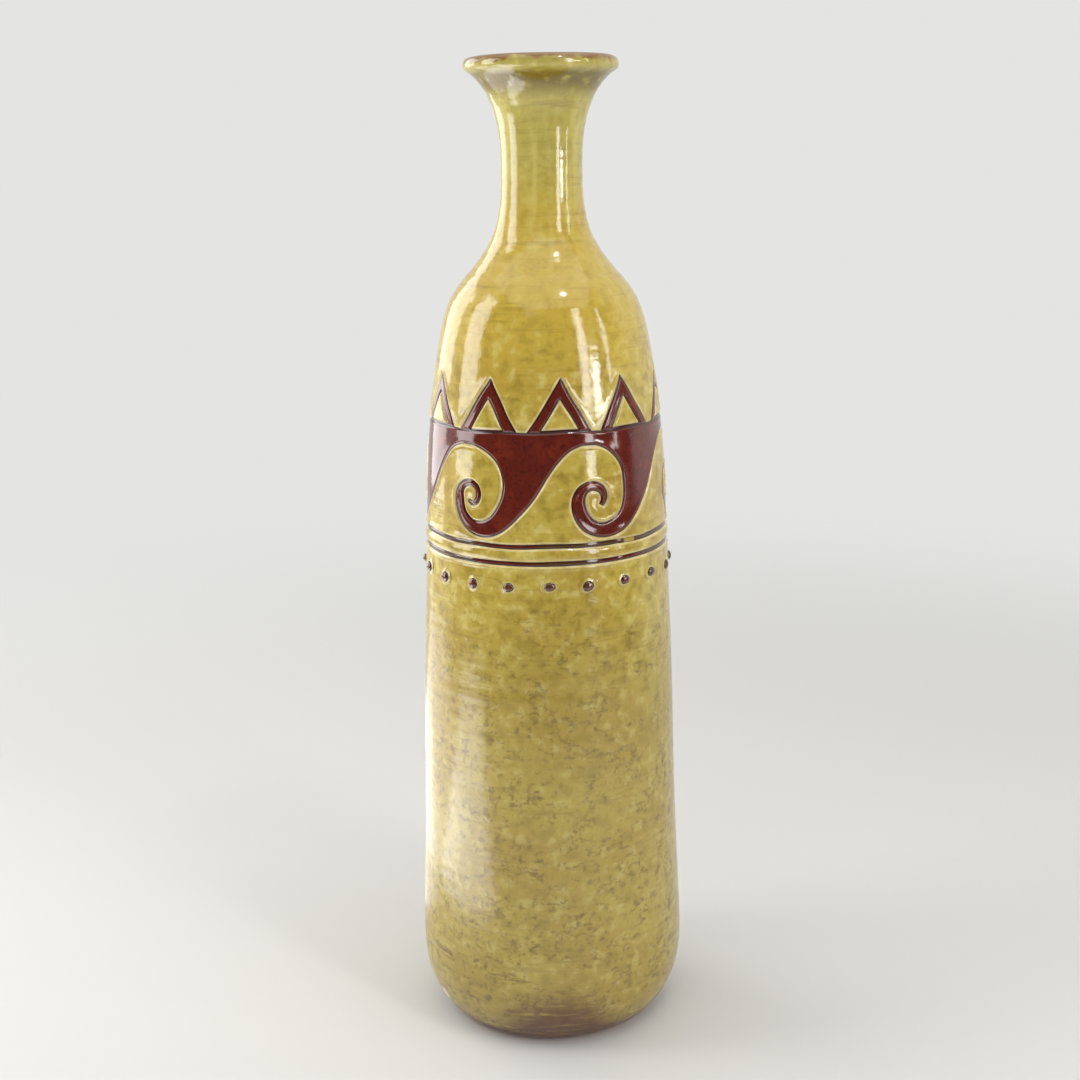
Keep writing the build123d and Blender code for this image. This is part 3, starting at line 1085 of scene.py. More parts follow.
@dataclass
class LowerCoat:
    """Yellow glaze from above the bare foot to the lower ring line, turned from one section.

    Attributes:
        wall: The clay under it.
        material: The finish.
        edge: How it stands beside the ring line.
        high: Height of the ring line's lower edge.
        low: Height of its end above the foot.
        marks: Throwing marks on it.
        columns: Steps round the vase.
        row: Height of a row on its face.
        back_row: The same on the clay.
        roll: Arc and height of the points of its rolled end above the foot.
        cut_rows: Distances from the ring line of the rows beside it.
        calm: Arc from each end over which the marks come in.
        noise_gain: Height of the noise for a mark of height 1.
        sway_noise: Scale of the unevenness round the vase, and how fast it changes up each metre.
        merge: Distance, in metres, below which the seam's points are joined.
        crease: Angle from which an edge is sharp.
        seed: Choice of the marks.
    """

    wall: ThrownWall
    material: bpy.types.Material
    edge: CutEdge
    high: float
    low: float = 3.5
    marks: ThrowingMarks = field(default_factory=ThrowingMarks)
    columns: int = 240
    row: float = 1.3
    back_row: float = 8.0
    roll: tuple[Span, ...] = (
        (0.0, 0.0), (-0.12, 0.3), (-0.05, 0.6), (0.25, 0.82), (0.7, 0.95), (1.3, 0.98), (2.2, 0.92),
        (3.4, 0.84),
    )
    cut_rows: tuple[float, ...] = (3.0, 2.3, 1.8, 1.4, 1.1, 0.85, 0.6, 0.4, 0.2, 0.1, 0.0)
    calm: float = 9.0
    noise_gain: float = 4.0
    sway_noise: Span = (0.9, 14.0)
    merge: float = 1e-7
    crease: float = 70.0
    seed: int = 7

    def _section(self) -> tuple[np.ndarray, np.ndarray, np.ndarray]:
        """Closed section of the coat.

        Returns:
            Radius and height of its points, their distance to the ring line, and how free they are
            to follow the throwing marks.
        """
        start = float(self.wall.arc_at(self.low))
        end = float(self.wall.arc_at(self.high))
        roll_arc = start + np.array([place for place, _ in self.roll])
        roll_lift = np.array([lift for _, lift in self.roll])
        cut_gap = np.array(self.cut_rows)
        first = roll_arc[-1]
        last = end - cut_gap[0]
        field_arc = np.linspace(first, last, round((last - first) / self.row) + 1)[1:-1]
        back_arc = np.linspace(end, start, round((end - start) / self.back_row) + 1)
        arc = np.concatenate((roll_arc, field_arc, end - cut_gap, back_arc))
        gap = np.maximum(end - arc, 0)
        lift = self.edge.lift(gap)
        lift[:len(roll_arc)] = roll_lift
        lift[-len(back_arc):] = 0
        free = np.clip((arc - start) / self.calm, 0, 1) * np.clip((end - arc) / self.calm, 0, 1)
        free[-len(back_arc):] = 0
        return self.wall.section(arc, lift), gap, free

    def _tree(self) -> GeometryTree:
        """Lathe that turns a section, row by row, and leaves throwing marks on it."""
        lathe = GeometryTree("lathe")
        columns = lathe.size("Columns", "NodeSocketInt")
        rows = lathe.size("Rows", "NodeSocketInt")
        ring = lathe.size("Ring Height")
        spacing = lathe.size("Ring Spacing")
        sway = lathe.size("Sway")
        seed = lathe.size("Seed")
        material = lathe.size("Material", "NodeSocketMaterial")
        sheet = lathe.add("GeometryNodeMeshGrid", {
            "Size X": 1.0, "Size Y": 1.0, "Vertices X": lathe.calc("ADD", columns, 1.0), "Vertices Y": rows})
        split = lathe.add("ShaderNodeSeparateXYZ", {0: lathe.add("GeometryNodeInputPosition").outputs[0]})
        turn = lathe.calc("MULTIPLY", lathe.calc("ADD", split.outputs[0], 0.5), FULL_TURN)
        share = lathe.calc("ADD", split.outputs[1], 0.5)
        row = lathe.calc("ROUND", lathe.calc("MULTIPLY", share, lathe.calc("SUBTRACT", rows, 1.0)))
        position = lathe.add("GeometryNodeInputPosition").outputs[0]
        place = self._from_section(lathe, position, row, "FLOAT_VECTOR")
        section = lathe.add("ShaderNodeSeparateXYZ", {0: place})
        free = self._named(lathe, FREE, row)
        edge = self._named(lathe, EDGE, row)
        climb = lathe.calc("ADD", lathe.calc("DIVIDE", section.outputs[2], spacing), seed)
        rings = lathe.add(
            "ShaderNodeTexNoise", {"W": climb, "Scale": 1.0, "Detail": 2.0}, noise_dimensions="1D")
        scale, pace = self.sway_noise
        around = lathe.joined(lathe.calc("SINE", turn), lathe.calc("COSINE", turn),
                              lathe.calc("MULTIPLY", section.outputs[2], pace))
        uneven = lathe.add("ShaderNodeTexNoise", {"Vector": around, "W": seed, "Scale": scale, "Detail": 1.0},
                           noise_dimensions="4D")
        marks = lathe.calc("ADD", self._about_zero(lathe, rings, ring), self._about_zero(lathe, uneven, sway))
        radius = lathe.calc("ADD", section.outputs[0], lathe.calc("MULTIPLY", marks, free))
        turned = lathe.joined(
            lathe.calc("MULTIPLY", radius, lathe.calc("SINE", turn)),
            lathe.calc("MULTIPLY", radius, lathe.calc("MULTIPLY", lathe.calc("COSINE", turn), -1.0)),
            section.outputs[2])
        kept = lathe.add("GeometryNodeStoreNamedAttribute", {
            "Geometry": sheet.outputs["Mesh"], "Name": EDGE, "Value": edge},
            data_type="FLOAT", domain="POINT")
        moved = lathe.add("GeometryNodeSetPosition", {"Geometry": kept.outputs[0], "Position": turned})
        closed = lathe.add("GeometryNodeMergeByDistance", {
            "Geometry": moved.outputs[0], "Distance": self.merge})
        lathe.end(closed.outputs[0], material)
        return lathe

    def _from_section(self, lathe: GeometryTree, value: Socket, row: Socket, kind: str) -> Socket:
        """A value of the section's point at a row."""
        inputs = {"Geometry": lathe.geometry, "Value": value, "Index": row}
        return lathe.add("GeometryNodeSampleIndex", inputs, data_type=kind, domain="POINT").outputs[0]

    def _named(self, lathe: GeometryTree, name: str, row: Socket) -> Socket:
        """A named number of the section's point at a row."""
        node = lathe.add("GeometryNodeInputNamedAttribute", {"Name": name}, data_type="FLOAT")
        return self._from_section(lathe, node.outputs[0], row, "FLOAT")

    def _about_zero(self, lathe: GeometryTree, noise: bpy.types.Node, height: Socket) -> Socket:
        """A noise as a height above and below nothing."""
        return lathe.calc("MULTIPLY", lathe.calc("SUBTRACT", noise.outputs[0], 0.5), height)

    def build(self) -> None:
        """Turn the coat and seat it."""
        section, gap, free = self._section()
        mesh = bpy.data.meshes.new("lower_coat_glaze")
        points = [(radius * MM, 0.0, height * MM) for radius, height in section.tolist()]
        mesh.from_pydata(points, [(index, index + 1) for index in range(len(points) - 1)], [])
        for name, values in ((EDGE, gap), (FREE, free)):
            attribute = mesh.attributes.new(name, "FLOAT", "POINT")
            attribute.data.foreach_set("value", values.astype(np.float32))
        piece = bpy.data.objects.new("lower_coat_glaze", mesh)
        bpy.context.scene.collection.objects.link(piece)
        gain = self.noise_gain * MM
        self._tree().run(
            piece, Columns=self.columns, Rows=len(points), Ring_Height=gain * self.marks.ring,
            Ring_Spacing=self.marks.spacing * MM, Sway=gain * self.marks.sway, Seed=float(self.seed),
            Material=self.material)
        piece.data.set_sharp_from_angle(angle=math.radians(self.crease))
        settle(piece, Slot.YELLOW, "lower_coat")


@dataclass
class PelletRow:
    """Row of brown pellets pressed on under the ring lines, each in a collar of yellow glaze.

    Attributes:
        wall: The clay that they are pressed on.
        yellow: Finish of the collars.
        brown: Finish of the pellets.
        count: Number of pellets.
        first_turn: Degrees from the front to the first pellet.
        height: Height of the row.
        cap_radius: Radius of a pellet.
        cap_low: Height of its side above the glaze.
        cap_high: Height of its middle above the glaze.
        cap_round: How far its face falls to the side.
        cap_waist: Share of its radius at the ring behind its face.
        cap_back: Heights of the two rings behind its face.
        collar_radius: Radius of a collar.
        collar_high: Height of its middle above the glaze.
        collar_fall: How fast it falls from its shoulder outwards.
        collar_shoulder: Share of its radius where it starts to fall.
        collar_sunk: Depth by which its rim is sunk.
        collar_waist: Share of its radius at the ring behind its face.
        collar_back: Heights of the two rings behind its face.
        collar_fade: Distance by which its pale edge is weakened.
        middle: Share of the radius at the ring about the face's middle.
        back_middle: Radius of the ring about the back's middle.
        rings: Rings of points on a face.
        sides: Points in a ring.
        uneven: Share, waves and start of each wave that makes a bead less than round.
        drift: How far a pellet lies off its place.
        size_drift: Share by which its size varies.
        seed: Choice of the drifts.
    """

    wall: ThrownWall
    yellow: bpy.types.Material
    brown: bpy.types.Material
    count: int = 20
    first_turn: float = 0.7
    height: float = 199.6
    cap_radius: float = 2.05
    cap_low: float = 0.3
    cap_high: float = 1.55
    cap_round: float = 0.97
    cap_waist: float = 0.97
    cap_back: Span = (0.1, -0.4)
    collar_radius: float = 3.3
    collar_high: float = 0.55
    collar_fall: float = 2.6
    collar_shoulder: float = 0.4
    collar_sunk: float = 0.06
    collar_waist: float = 0.95
    collar_back: Span = (-0.35, -0.35)
    collar_fade: float = 0.6
    middle: float = 0.04
    back_middle: float = 0.3
    rings: int = 9
    sides: int = 28
    uneven: tuple[Point, ...] = ((0.05, 2, 0.7), (0.03, 3, 2.0))
    drift: float = 0.45
    size_drift: float = 0.14
    seed: int = 11

    def _dome(self, name: str, radii: np.ndarray, lifts: np.ndarray, edge: np.ndarray,
              material: bpy.types.Material) -> bpy.types.Object:
        """Round closed bead around its own middle, its face towards -Y.

        Args:
            name: Name of the piece.
            radii: Radius of each ring of points, from the face's middle to the back's middle.
            lifts: Height of each ring above the glaze.
            edge: Distance of each ring to the line between the glazes.
            material: The finish.

        Returns:
            The piece.
        """
        angles = np.arange(self.sides) * FULL_TURN / self.sides
        ring_shape = 1 + sum(share * np.sin(waves * angles + start) for share, waves, start in self.uneven)
        points = []
        for radius, lift in zip(radii, lifts):
            across = radius * ring_shape * np.cos(angles)
            up = radius * ring_shape * np.sin(angles)
            points.append(np.column_stack((across, np.full(self.sides, -lift), up)))
        faces = [tuple(range(self.sides))]
        for ring in range(len(radii) - 1):
            for side in range(self.sides):
                low = ring * self.sides
                beside = (side + 1) % self.sides
                faces.append((low + beside, low + side, low + self.sides + side, low + self.sides + beside))
        last = (len(radii) - 1) * self.sides
        faces.append(tuple(range(last + self.sides - 1, last - 1, -1)))
        return finished_piece(name, np.vstack(points), faces, np.repeat(edge, self.sides), set(), material)

    def _tree(self) -> GeometryTree:
        """Copies of a bead round the vase, each a little off its place and size."""
        row = GeometryTree("pellet_row")
        count = row.size("Count", "NodeSocketInt")
        radius = row.size("Radius")
        height = row.size("Height")
        start = row.size("Start")
        tilt = row.size("Tilt")
        drift = row.size("Drift")
        size_drift = row.size("Size Drift")
        seed = row.size("Seed")
        material = row.size("Material", "NodeSocketMaterial")
        points = row.add("GeometryNodePoints", {"Count": count})
        step = row.calc("DIVIDE", FULL_TURN, count)
        index = row.add("GeometryNodeInputIndex").outputs[0]
        turn = row.calc("ADD", row.calc("MULTIPLY", index, step), start)
        aside = row.calc("DIVIDE", row.chance(-1.0, 1.0, seed, 1), radius)
        turn = row.calc("ADD", turn, row.calc("MULTIPLY", aside, drift))
        rise = row.calc("ADD", height, row.calc("MULTIPLY", row.chance(-1.0, 1.0, seed, 2), drift))
        place = row.joined(
            row.calc("MULTIPLY", radius, row.calc("SINE", turn)),
            row.calc("MULTIPLY", radius, row.calc("MULTIPLY", row.calc("COSINE", turn), -1.0)), rise)
        placed = row.add("GeometryNodeSetPosition", {"Geometry": points.outputs[0], "Position": place})
        wide = row.calc("ADD", 1.0, row.calc("MULTIPLY", row.chance(-1.0, 1.0, seed, 3), size_drift))
        tall = row.calc("ADD", 1.0, row.calc("MULTIPLY", row.chance(-1.0, 1.0, seed, 4), size_drift))
        copies = row.add("GeometryNodeInstanceOnPoints", {
            "Points": placed.outputs[0], "Instance": row.geometry,
            "Rotation": row.joined(tilt, 0.0, turn), "Scale": row.joined(wide, 1.0, tall)})
        row.end(copies.outputs[0], material)
        return row

    def build(self) -> None:
        """Make the collars and the pellets and seat them."""
        share = np.linspace(self.middle, 1, self.rings)
        cap_rise = self.cap_low + (self.cap_high - self.cap_low) * np.sqrt(1 - self.cap_round * share ** 2)
        cap_behind = (self.cap_radius * self.cap_waist, self.back_middle)
        cap_radii = np.concatenate((share * self.cap_radius, cap_behind))
        cap_lifts = np.concatenate((cap_rise, self.cap_back))
        cap_edge = np.maximum(self.cap_radius - cap_radii, 0)
        outwards = np.maximum(share - self.collar_shoulder, 0) / (1 - self.collar_shoulder)
        collar_rise = self.collar_high * np.exp(-self.collar_fall * outwards ** 2) - self.collar_sunk
        collar_behind = (self.collar_radius * self.collar_waist, self.back_middle)
        collar_radii = np.concatenate((share * self.collar_radius, collar_behind))
        collar_lifts = np.concatenate((collar_rise, self.collar_back))
        collar_edge = np.abs(collar_radii - self.cap_radius) + self.collar_fade
        nodes = [f"pellet_{index:02d}" for index in range(1, self.count + 1)]
        arc = self.wall.arc_at(np.array([self.height]))
        radius, height = self.wall.section(arc, self.wall.glaze)[0]
        foot, head = self.wall.section(np.array((arc[0] - 1, arc[0] + 1)), 0.0)
        tilt = math.atan2(head[0] - foot[0], head[1] - foot[1])
        tree = self._tree()
        makes = (
            ("pellet_collars", collar_radii, collar_lifts, collar_edge, self.yellow, Slot.YELLOW, ()),
            ("pellets", cap_radii, cap_lifts, cap_edge, self.brown, Slot.PELLET, nodes),
        )
        for name, radii, lifts, edge, material, slot, stands_for in makes:
            piece = self._dome(name, radii, lifts, edge, material)
            tree.run(
                piece, Count=self.count, Radius=radius * MM, Height=height * MM,
                Start=math.radians(self.first_turn), Tilt=tilt, Drift=self.drift * MM,
                Size_Drift=self.size_drift, Seed=float(self.seed), Material=material)
            settle(piece, slot, *stands_for)


class Finish(NodeDesk):
    """A material whose nodes read places on the vase in millimetres."""

    def __init__(self, name: str) -> None:
        """Start a material with its own shader."""
        self.material = bpy.data.materials.new(name)
        self.material.use_nodes = True
        super().__init__(self.material.node_tree)
        self.shader = self.tree.nodes["Principled BSDF"]
        place = self.add("ShaderNodeTexCoord").outputs["Object"]
        scaled = self.add("ShaderNodeVectorMath", {0: place, "Scale": 1 / MM}, operation="SCALE")
        self.place = scaled.outputs[0]
        self.height = self.add("ShaderNodeSeparateXYZ", {0: self.place}).outputs[2]

    def noise(self, size: float, detail: float = 3.0, rough: float = 0.5,
              squash: Point = (1.0, 1.0, 1.0)) -> Socket:
        """Cloudy pattern.

        Args:
            size: Size of its features.
            detail: Number of finer layers.
            rough: Strength of the finer layers.
            squash: Shares by which it is drawn together along X, Y and Z.

        Returns:
            Its value, about 0.5.
        """
        place = self.add("ShaderNodeVectorMath", {0: self.place, 1: squash}, operation="MULTIPLY").outputs[0]
        inputs = {"Vector": place, "Scale": 1 / size, "Detail": detail, "Roughness": rough}
        return self.add("ShaderNodeTexNoise", inputs).outputs[0]

    def seams(self, size: float, stray: float) -> Socket:
        """Share of the way from the seams of a net of uneven cells to their middles.

        Args:
            size: Size of a cell.
            stray: How far the seams stray from straight.

        Returns:
            Its value, nothing on the seams.
        """
        inputs = {"Vector": self.place, "Scale": 1.6 / size, "Detail": 3.0}
        cloud = self.add("ShaderNodeTexNoise", inputs).outputs["Color"]
        aside = self.add("ShaderNodeVectorMath", {0: cloud, "Scale": stray}, operation="SCALE").outputs[0]
        place = self.add("ShaderNodeVectorMath", {0: self.place, 1: aside}, operation="ADD").outputs[0]
        inputs = {"Vector": place, "Scale": 1 / size}
        return self.add("ShaderNodeTexVoronoi", inputs, feature="DISTANCE_TO_EDGE").outputs["Distance"]

    def far_from(self, point: Point) -> Socket:
        """Distance to a point."""
        node = self.add("ShaderNodeVectorMath", {0: self.place, 1: point}, operation="DISTANCE")
        return node.outputs["Value"]

    def edge(self) -> Socket:
        """Distance to the nearest cut line."""
        return self.add("ShaderNodeAttribute", attribute_name=EDGE).outputs["Fac"]

    def blend(self, share: Value, under: Value, over: Value) -> Socket:
        """One colour over another."""
        return self.add("ShaderNodeMix", {0: share, 6: under, 7: over}, data_type="RGBA").outputs[2]

    def times(self, *values: Value) -> Socket:
        """Product of numbers."""
        product = values[0]
        for value in values[1:]:
            product = self.calc("MULTIPLY", product, value)
        return product

    def dress(self, colour: Socket, rough: Socket, bump: Socket) -> bpy.types.Material:
        """Join the patterns to the shader.

        Args:
            colour: Colour of the surface.
            rough: Roughness of the surface.
            bump: Height of the surface's fine relief, in millimetres.

        Returns:
            The material.
        """
        relief = self.add("ShaderNodeBump", {"Strength": 1.0, "Distance": MM, "Height": bump})
        self.tree.links.new(colour, self.shader.inputs["Base Color"])
        self.tree.links.new(rough, self.shader.inputs["Roughness"])
        self.tree.links.new(relief.outputs[0], self.shader.inputs["Normal"])
        return self.material


@dataclass(frozen=True)
class YellowGlaze:
    """Glossy mustard glaze, mottled and speckled, worn at the lip and thin over the foot, with painted shade
    under the lip.

    A zone gives the height where it starts and the height where it is full, and a reach gives the
    same as distances from a cut line or from the middle of a mark.
    """

    name: str = Slot.YELLOW.value
    mid: Colour = tone(186, 164, 72)
    ochre: Colour = tone(172, 142, 54)
    golden: Colour = tone(196, 166, 62)
    green: Colour = tone(182, 168, 86)
    pale: Colour = tone(212, 197, 116)
    deep: Colour = tone(142, 122, 42)
    seam: Colour = tone(122, 100, 36)
    speck: Colour = tone(104, 84, 28)
    smudge: Colour = tone(98, 90, 56)
    cream: Colour = tone(234, 218, 160)
    cut: Colour = tone(46, 24, 12)
    bare: Colour = tone(84, 40, 24)
    worn: Colour = tone(124, 80, 30)
    # colour of the painted shade under the lip's flare
    painted_lip_shade: Colour = tone(108, 90, 22)
    chip: Colour = tone(226, 208, 190)
    stain_at: Point = (2.0, -50.0, 2.0)
    stain_reach: Span = (50.0, 30.0)
    chip_at: Point = (-45.5, -24.2, 12.6)
    chip_reach: Span = (5.0, 4.2)
    dashes_at: float = 35.5
    dashes_reach: Span = (4.0, 1.0)
    cream_reach: Span = (1.3, 0.4)
    cut_reach: Span = (0.3, 0.05)
    foot_zone: Span = (-1.0, -11.0)
    low_zone: Span = (215.0, 150.0)
    golden_zone: Span = (262.0, 305.0)
    calm_zone: Span = (270.0, 315.0)
    run_zone: Span = (310.0, 335.0)
    green_zone: Span = (330.0, 365.0)
    # heights where the painted shade under the lip's flare comes in and goes out
    lip_shade_zone: Span = (382.0, 390.5)
    lip_shade_end: Span = (395.5, 392.5)
    lip_zone: Span = (400.0, 402.6)
    index: float = 1.75

    def _ground(self, glaze: Finish, blob: Socket) -> Socket:
        """Broad colours: clouds, a golden shoulder, a greener neck with runs, pale and deep blotches."""
        cloud = glaze.noise(42.0, 2.0)
        ground = glaze.blend(glaze.times(glaze.band(cloud, 0.42, 0.62), 0.7), self.mid, self.ochre)
        shoulder = glaze.times(glaze.band(glaze.height, *self.golden_zone), 0.75)
        ground = glaze.blend(shoulder, ground, self.golden)
        ground = glaze.blend(glaze.band(glaze.height, *self.green_zone), ground, self.green)
        calm = glaze.calc("SUBTRACT", 0.6, glaze.times(glaze.band(glaze.height, *self.calm_zone), 0.38))
        ground = glaze.blend(glaze.times(glaze.band(blob, 0.52, 0.7), calm), ground, self.pale)
        ground = glaze.blend(glaze.times(glaze.band(blob, 0.49, 0.33), calm), ground, self.deep)
        run = glaze.noise(5.0, 2.0, 0.5, squash=(1.0, 1.0, 0.1))
        run = glaze.times(glaze.band(run, 0.48, 0.7), glaze.band(glaze.height, *self.run_zone), 0.5)
        return glaze.blend(run, ground, self.pale)

    def _mottle(self, glaze: Finish, ground: Socket, low: Socket, grain: Socket) -> Socket:
        """Broken dark seams between pale cells, specks in patches and a few grey smudges."""
        patch = glaze.noise(13.0, 3.0, 0.6)
        amount = glaze.calc("ADD", glaze.times(low, 0.72), 0.2)
        broken = glaze.band(glaze.noise(3.2, 3.0, 0.6), 0.49, 0.6)
        seam = glaze.band(glaze.seams(5.0, 4.5), 0.2, 0.02)
        seam = glaze.times(seam, broken, glaze.band(patch, 0.34, 0.56), amount)
        ground = glaze.blend(glaze.times(seam, 0.75), ground, self.seam)
        dash = glaze.noise(3.2, 2.0, 0.55, squash=(0.85, 0.85, 1.4))
        speck = glaze.times(glaze.band(dash, 0.53, 0.68), glaze.band(patch, 0.36, 0.6), amount)
        ground = glaze.blend(glaze.times(speck, 0.68), ground, self.speck)
        fleck = glaze.times(glaze.band(grain, 0.58, 0.74), amount, 0.3)
        ground = glaze.blend(fleck, ground, self.speck)
        smudge = glaze.times(glaze.band(glaze.noise(9.0, 4.0, 0.62), 0.65, 0.75), amount, 0.72)
        return glaze.blend(smudge, ground, self.smudge)

    def _edges(self, glaze: Finish, ground: Socket, grain: Socket) -> Socket:
        """Cream where the glaze thins beside the cuts, and dark stain down in them."""
        edge = glaze.edge()
        patchy = glaze.calc("ADD", glaze.times(glaze.band(glaze.noise(8.0, 2.0), 0.35, 0.6), 0.55), 0.4)
        grainy = glaze.calc("ADD", glaze.times(grain, 0.8), 0.35, clamp=True)
        thin = glaze.times(glaze.band(edge, *self.cream_reach), grainy, patchy)
        ground = glaze.blend(thin, ground, self.cream)
        return glaze.blend(glaze.times(glaze.band(edge, *self.cut_reach), 0.9), ground, self.cut)

    def _ends(self, glaze: Finish, ground: Socket, blob: Socket, ring: Socket) -> Socket:
        """Brown streaks over the foot, painted shade under the lip's flare and a worn edge on it."""
        ragged = glaze.calc("ADD", glaze.times(blob, 8.0), glaze.times(ring, 16.0))
        foot = glaze.band(glaze.calc("SUBTRACT", glaze.height, ragged), *self.foot_zone)
        stain = glaze.calc("ADD", glaze.far_from(self.stain_at), glaze.times(ring, 30.0))
        stain = glaze.band(stain, *self.stain_reach)
        brown = glaze.calc("ADD", foot, glaze.times(stain, glaze.band(ring, 0.3, 0.5), 0.95), clamp=True)
        ground = glaze.blend(glaze.times(brown, 0.92), ground, self.bare)
        # Painted shade: the underside of the lip's flare is darkened to olive brown in blotches
        under = glaze.band(glaze.height, *self.lip_shade_zone)
        under = glaze.times(under, glaze.band(glaze.height, *self.lip_shade_end))
        ground = glaze.blend(glaze.times(under, glaze.band(blob, 0.2, 0.5), 0.92), ground, self.painted_lip_shade)
        lip = glaze.band(glaze.calc("ADD", glaze.height, glaze.times(blob, 7.0)), *self.lip_zone)
        return glaze.blend(glaze.times(lip, 0.92), ground, self.worn)

    def material(self) -> bpy.types.Material:
        """Build the glaze."""
        glaze = Finish(self.name)
        low = glaze.band(glaze.height, *self.low_zone)
        blob = glaze.noise(5.2, 2.5, 0.5)
        grain = glaze.noise(1.6, 3.0, 0.6)
        ring = glaze.noise(2.2, 4.0, 0.62, squash=(0.07, 0.07, 1.0))
        ground = self._ground(glaze, blob)
        ground = glaze.blend(glaze.times(low, 0.42), ground, self.deep)
        ground = glaze.blend(glaze.times(glaze.band(ring, 0.52, 0.72), 0.36), ground, self.seam)
        ground = self._mottle(glaze, ground, low, grain)
        ground = self._edges(glaze, ground, grain)
        off = glaze.calc("ABSOLUTE", glaze.calc("SUBTRACT", glaze.height, self.dashes_at))
        dashes = glaze.times(glaze.band(ring, 0.5, 0.6), glaze.band(blob, 0.36, 0.55))
        dashes = glaze.times(glaze.band(off, *self.dashes_reach), dashes)
        ground = glaze.blend(glaze.times(dashes, 0.85), ground, self.speck)
        ground = self._ends(glaze, ground, blob, ring)
        chip = glaze.calc("ADD", glaze.far_from(self.chip_at), glaze.times(blob, 3.0))
        chip = glaze.band(chip, *self.chip_reach)
        ground = glaze.blend(chip, ground, self.chip)
        low_dull = glaze.times(low, 0.1)
        rough = glaze.calc("ADD", glaze.calc("ADD", glaze.times(blob, 0.12), 0.05), low_dull)
        rough = glaze.calc("ADD", rough, glaze.times(chip, 0.5))
        bump = glaze.calc("ADD", glaze.times(ring, 0.06), glaze.times(glaze.noise(3.4, 3.0), 0.08))
        glaze.shader.inputs["IOR"].default_value = self.index
        return glaze.dress(ground, rough, bump)


@dataclass(frozen=True)
class BrownGlaze:
    """Glossy oxblood glaze, darker where it pools along the cuts, and thin in the ring lines."""

    name: str = Slot.BROWN.value
    mid: Colour = tone(92, 26, 14)
    warm: Colour = tone(124, 42, 18)
    deep: Colour = tone(36, 6, 4)
    olive: Colour = tone(78, 60, 24)
    yellow: Colour = tone(176, 154, 70)
    gap_at: Point = (32.3, -37.1, 215.4)
    gap_reach: Span = (3.4, 2.2)
    line_zone: Span = (218.0, 217.0)
    pooled_reach: Span = (0.65, 0.1)
    index: float = 1.75
    dull: float = 0.06

    def material(self) -> bpy.types.Material:
        """Build the glaze."""
        glaze = Finish(self.name)
        cloud = glaze.noise(8.0, 4.0, 0.6)
        grain = glaze.noise(1.5, 3.0, 0.6)
        ground = glaze.blend(glaze.times(glaze.band(cloud, 0.48, 0.72), 0.65), self.mid, self.warm)
        ground = glaze.blend(glaze.times(glaze.band(grain, 0.5, 0.7), 0.5), ground, self.deep)
        line = glaze.band(glaze.height, *self.line_zone)
        thin = glaze.times(line, glaze.band(glaze.noise(22.0, 2.0), 0.44, 0.6))
        ground = glaze.blend(glaze.times(thin, 0.8), ground, self.olive)
        pooled = glaze.times(glaze.band(glaze.edge(), *self.pooled_reach), 0.85)
        ground = glaze.blend(pooled, ground, self.deep)
        missed = glaze.band(glaze.far_from(self.gap_at), *self.gap_reach)
        ground = glaze.blend(glaze.times(missed, 0.85), ground, self.yellow)
        rough = glaze.calc("ADD", glaze.times(cloud, 0.08), self.dull)
        bump = glaze.calc("ADD", glaze.times(cloud, 0.1), glaze.times(grain, 0.02))
        glaze.shader.inputs["IOR"].default_value = self.index
        return glaze.dress(ground, rough, bump)


@dataclass(frozen=True)
class RedClay:
    """Bare fired clay, gritty and matt."""

    name: str = Slot.CLAY.value
    mid: Colour = tone(146, 88, 56)
    pale: Colour = tone(176, 118, 80)
    deep: Colour = tone(96, 54, 34)

    def material(self) -> bpy.types.Material:
        """Build the clay."""
        clay = Finish(self.name)
        cloud = clay.noise(12.0, 4.0, 0.6)
        grit = clay.noise(0.9, 3.0, 0.7)
        ground = clay.blend(clay.band(cloud, 0.4, 0.7), self.mid, self.pale)
        ground = clay.blend(clay.times(clay.band(grit, 0.55, 0.75), 0.7), ground, self.deep)
        rough = clay.calc("ADD", clay.times(cloud, 0.15), 0.72)
        bump = clay.calc("ADD", clay.times(grit, 0.18), clay.times(cloud, 0.1))
        return clay.dress(ground, rough, bump)


@dataclass(frozen=True)
class LinerGlaze:
    """Thin olive glaze inside the vase, with runs down the wall."""

    name: str = Slot.LINER.value
    mid: Colour = tone(150, 130, 56)
    pale: Colour = tone(182, 160, 86)
    deep: Colour = tone(96, 74, 32)

    def material(self) -> bpy.types.Material:
        """Build the glaze."""
        glaze = Finish(self.name)
        cloud = glaze.noise(7.0, 4.0, 0.6)
        runs = glaze.noise(5.0, 3.0, 0.6, squash=(1.0, 1.0, 0.1))
        ground = glaze.blend(glaze.band(cloud, 0.4, 0.7), self.mid, self.pale)
        ground = glaze.blend(glaze.times(glaze.band(runs, 0.5, 0.75), 0.6), ground, self.deep)
        rough = glaze.calc("ADD", glaze.times(cloud, 0.15), 0.15)
        bump = glaze.calc("ADD", glaze.times(runs, 0.15), glaze.times(cloud, 0.06))
        return glaze.dress(ground, rough, bump)


STRAIGHT_UP = 100.0


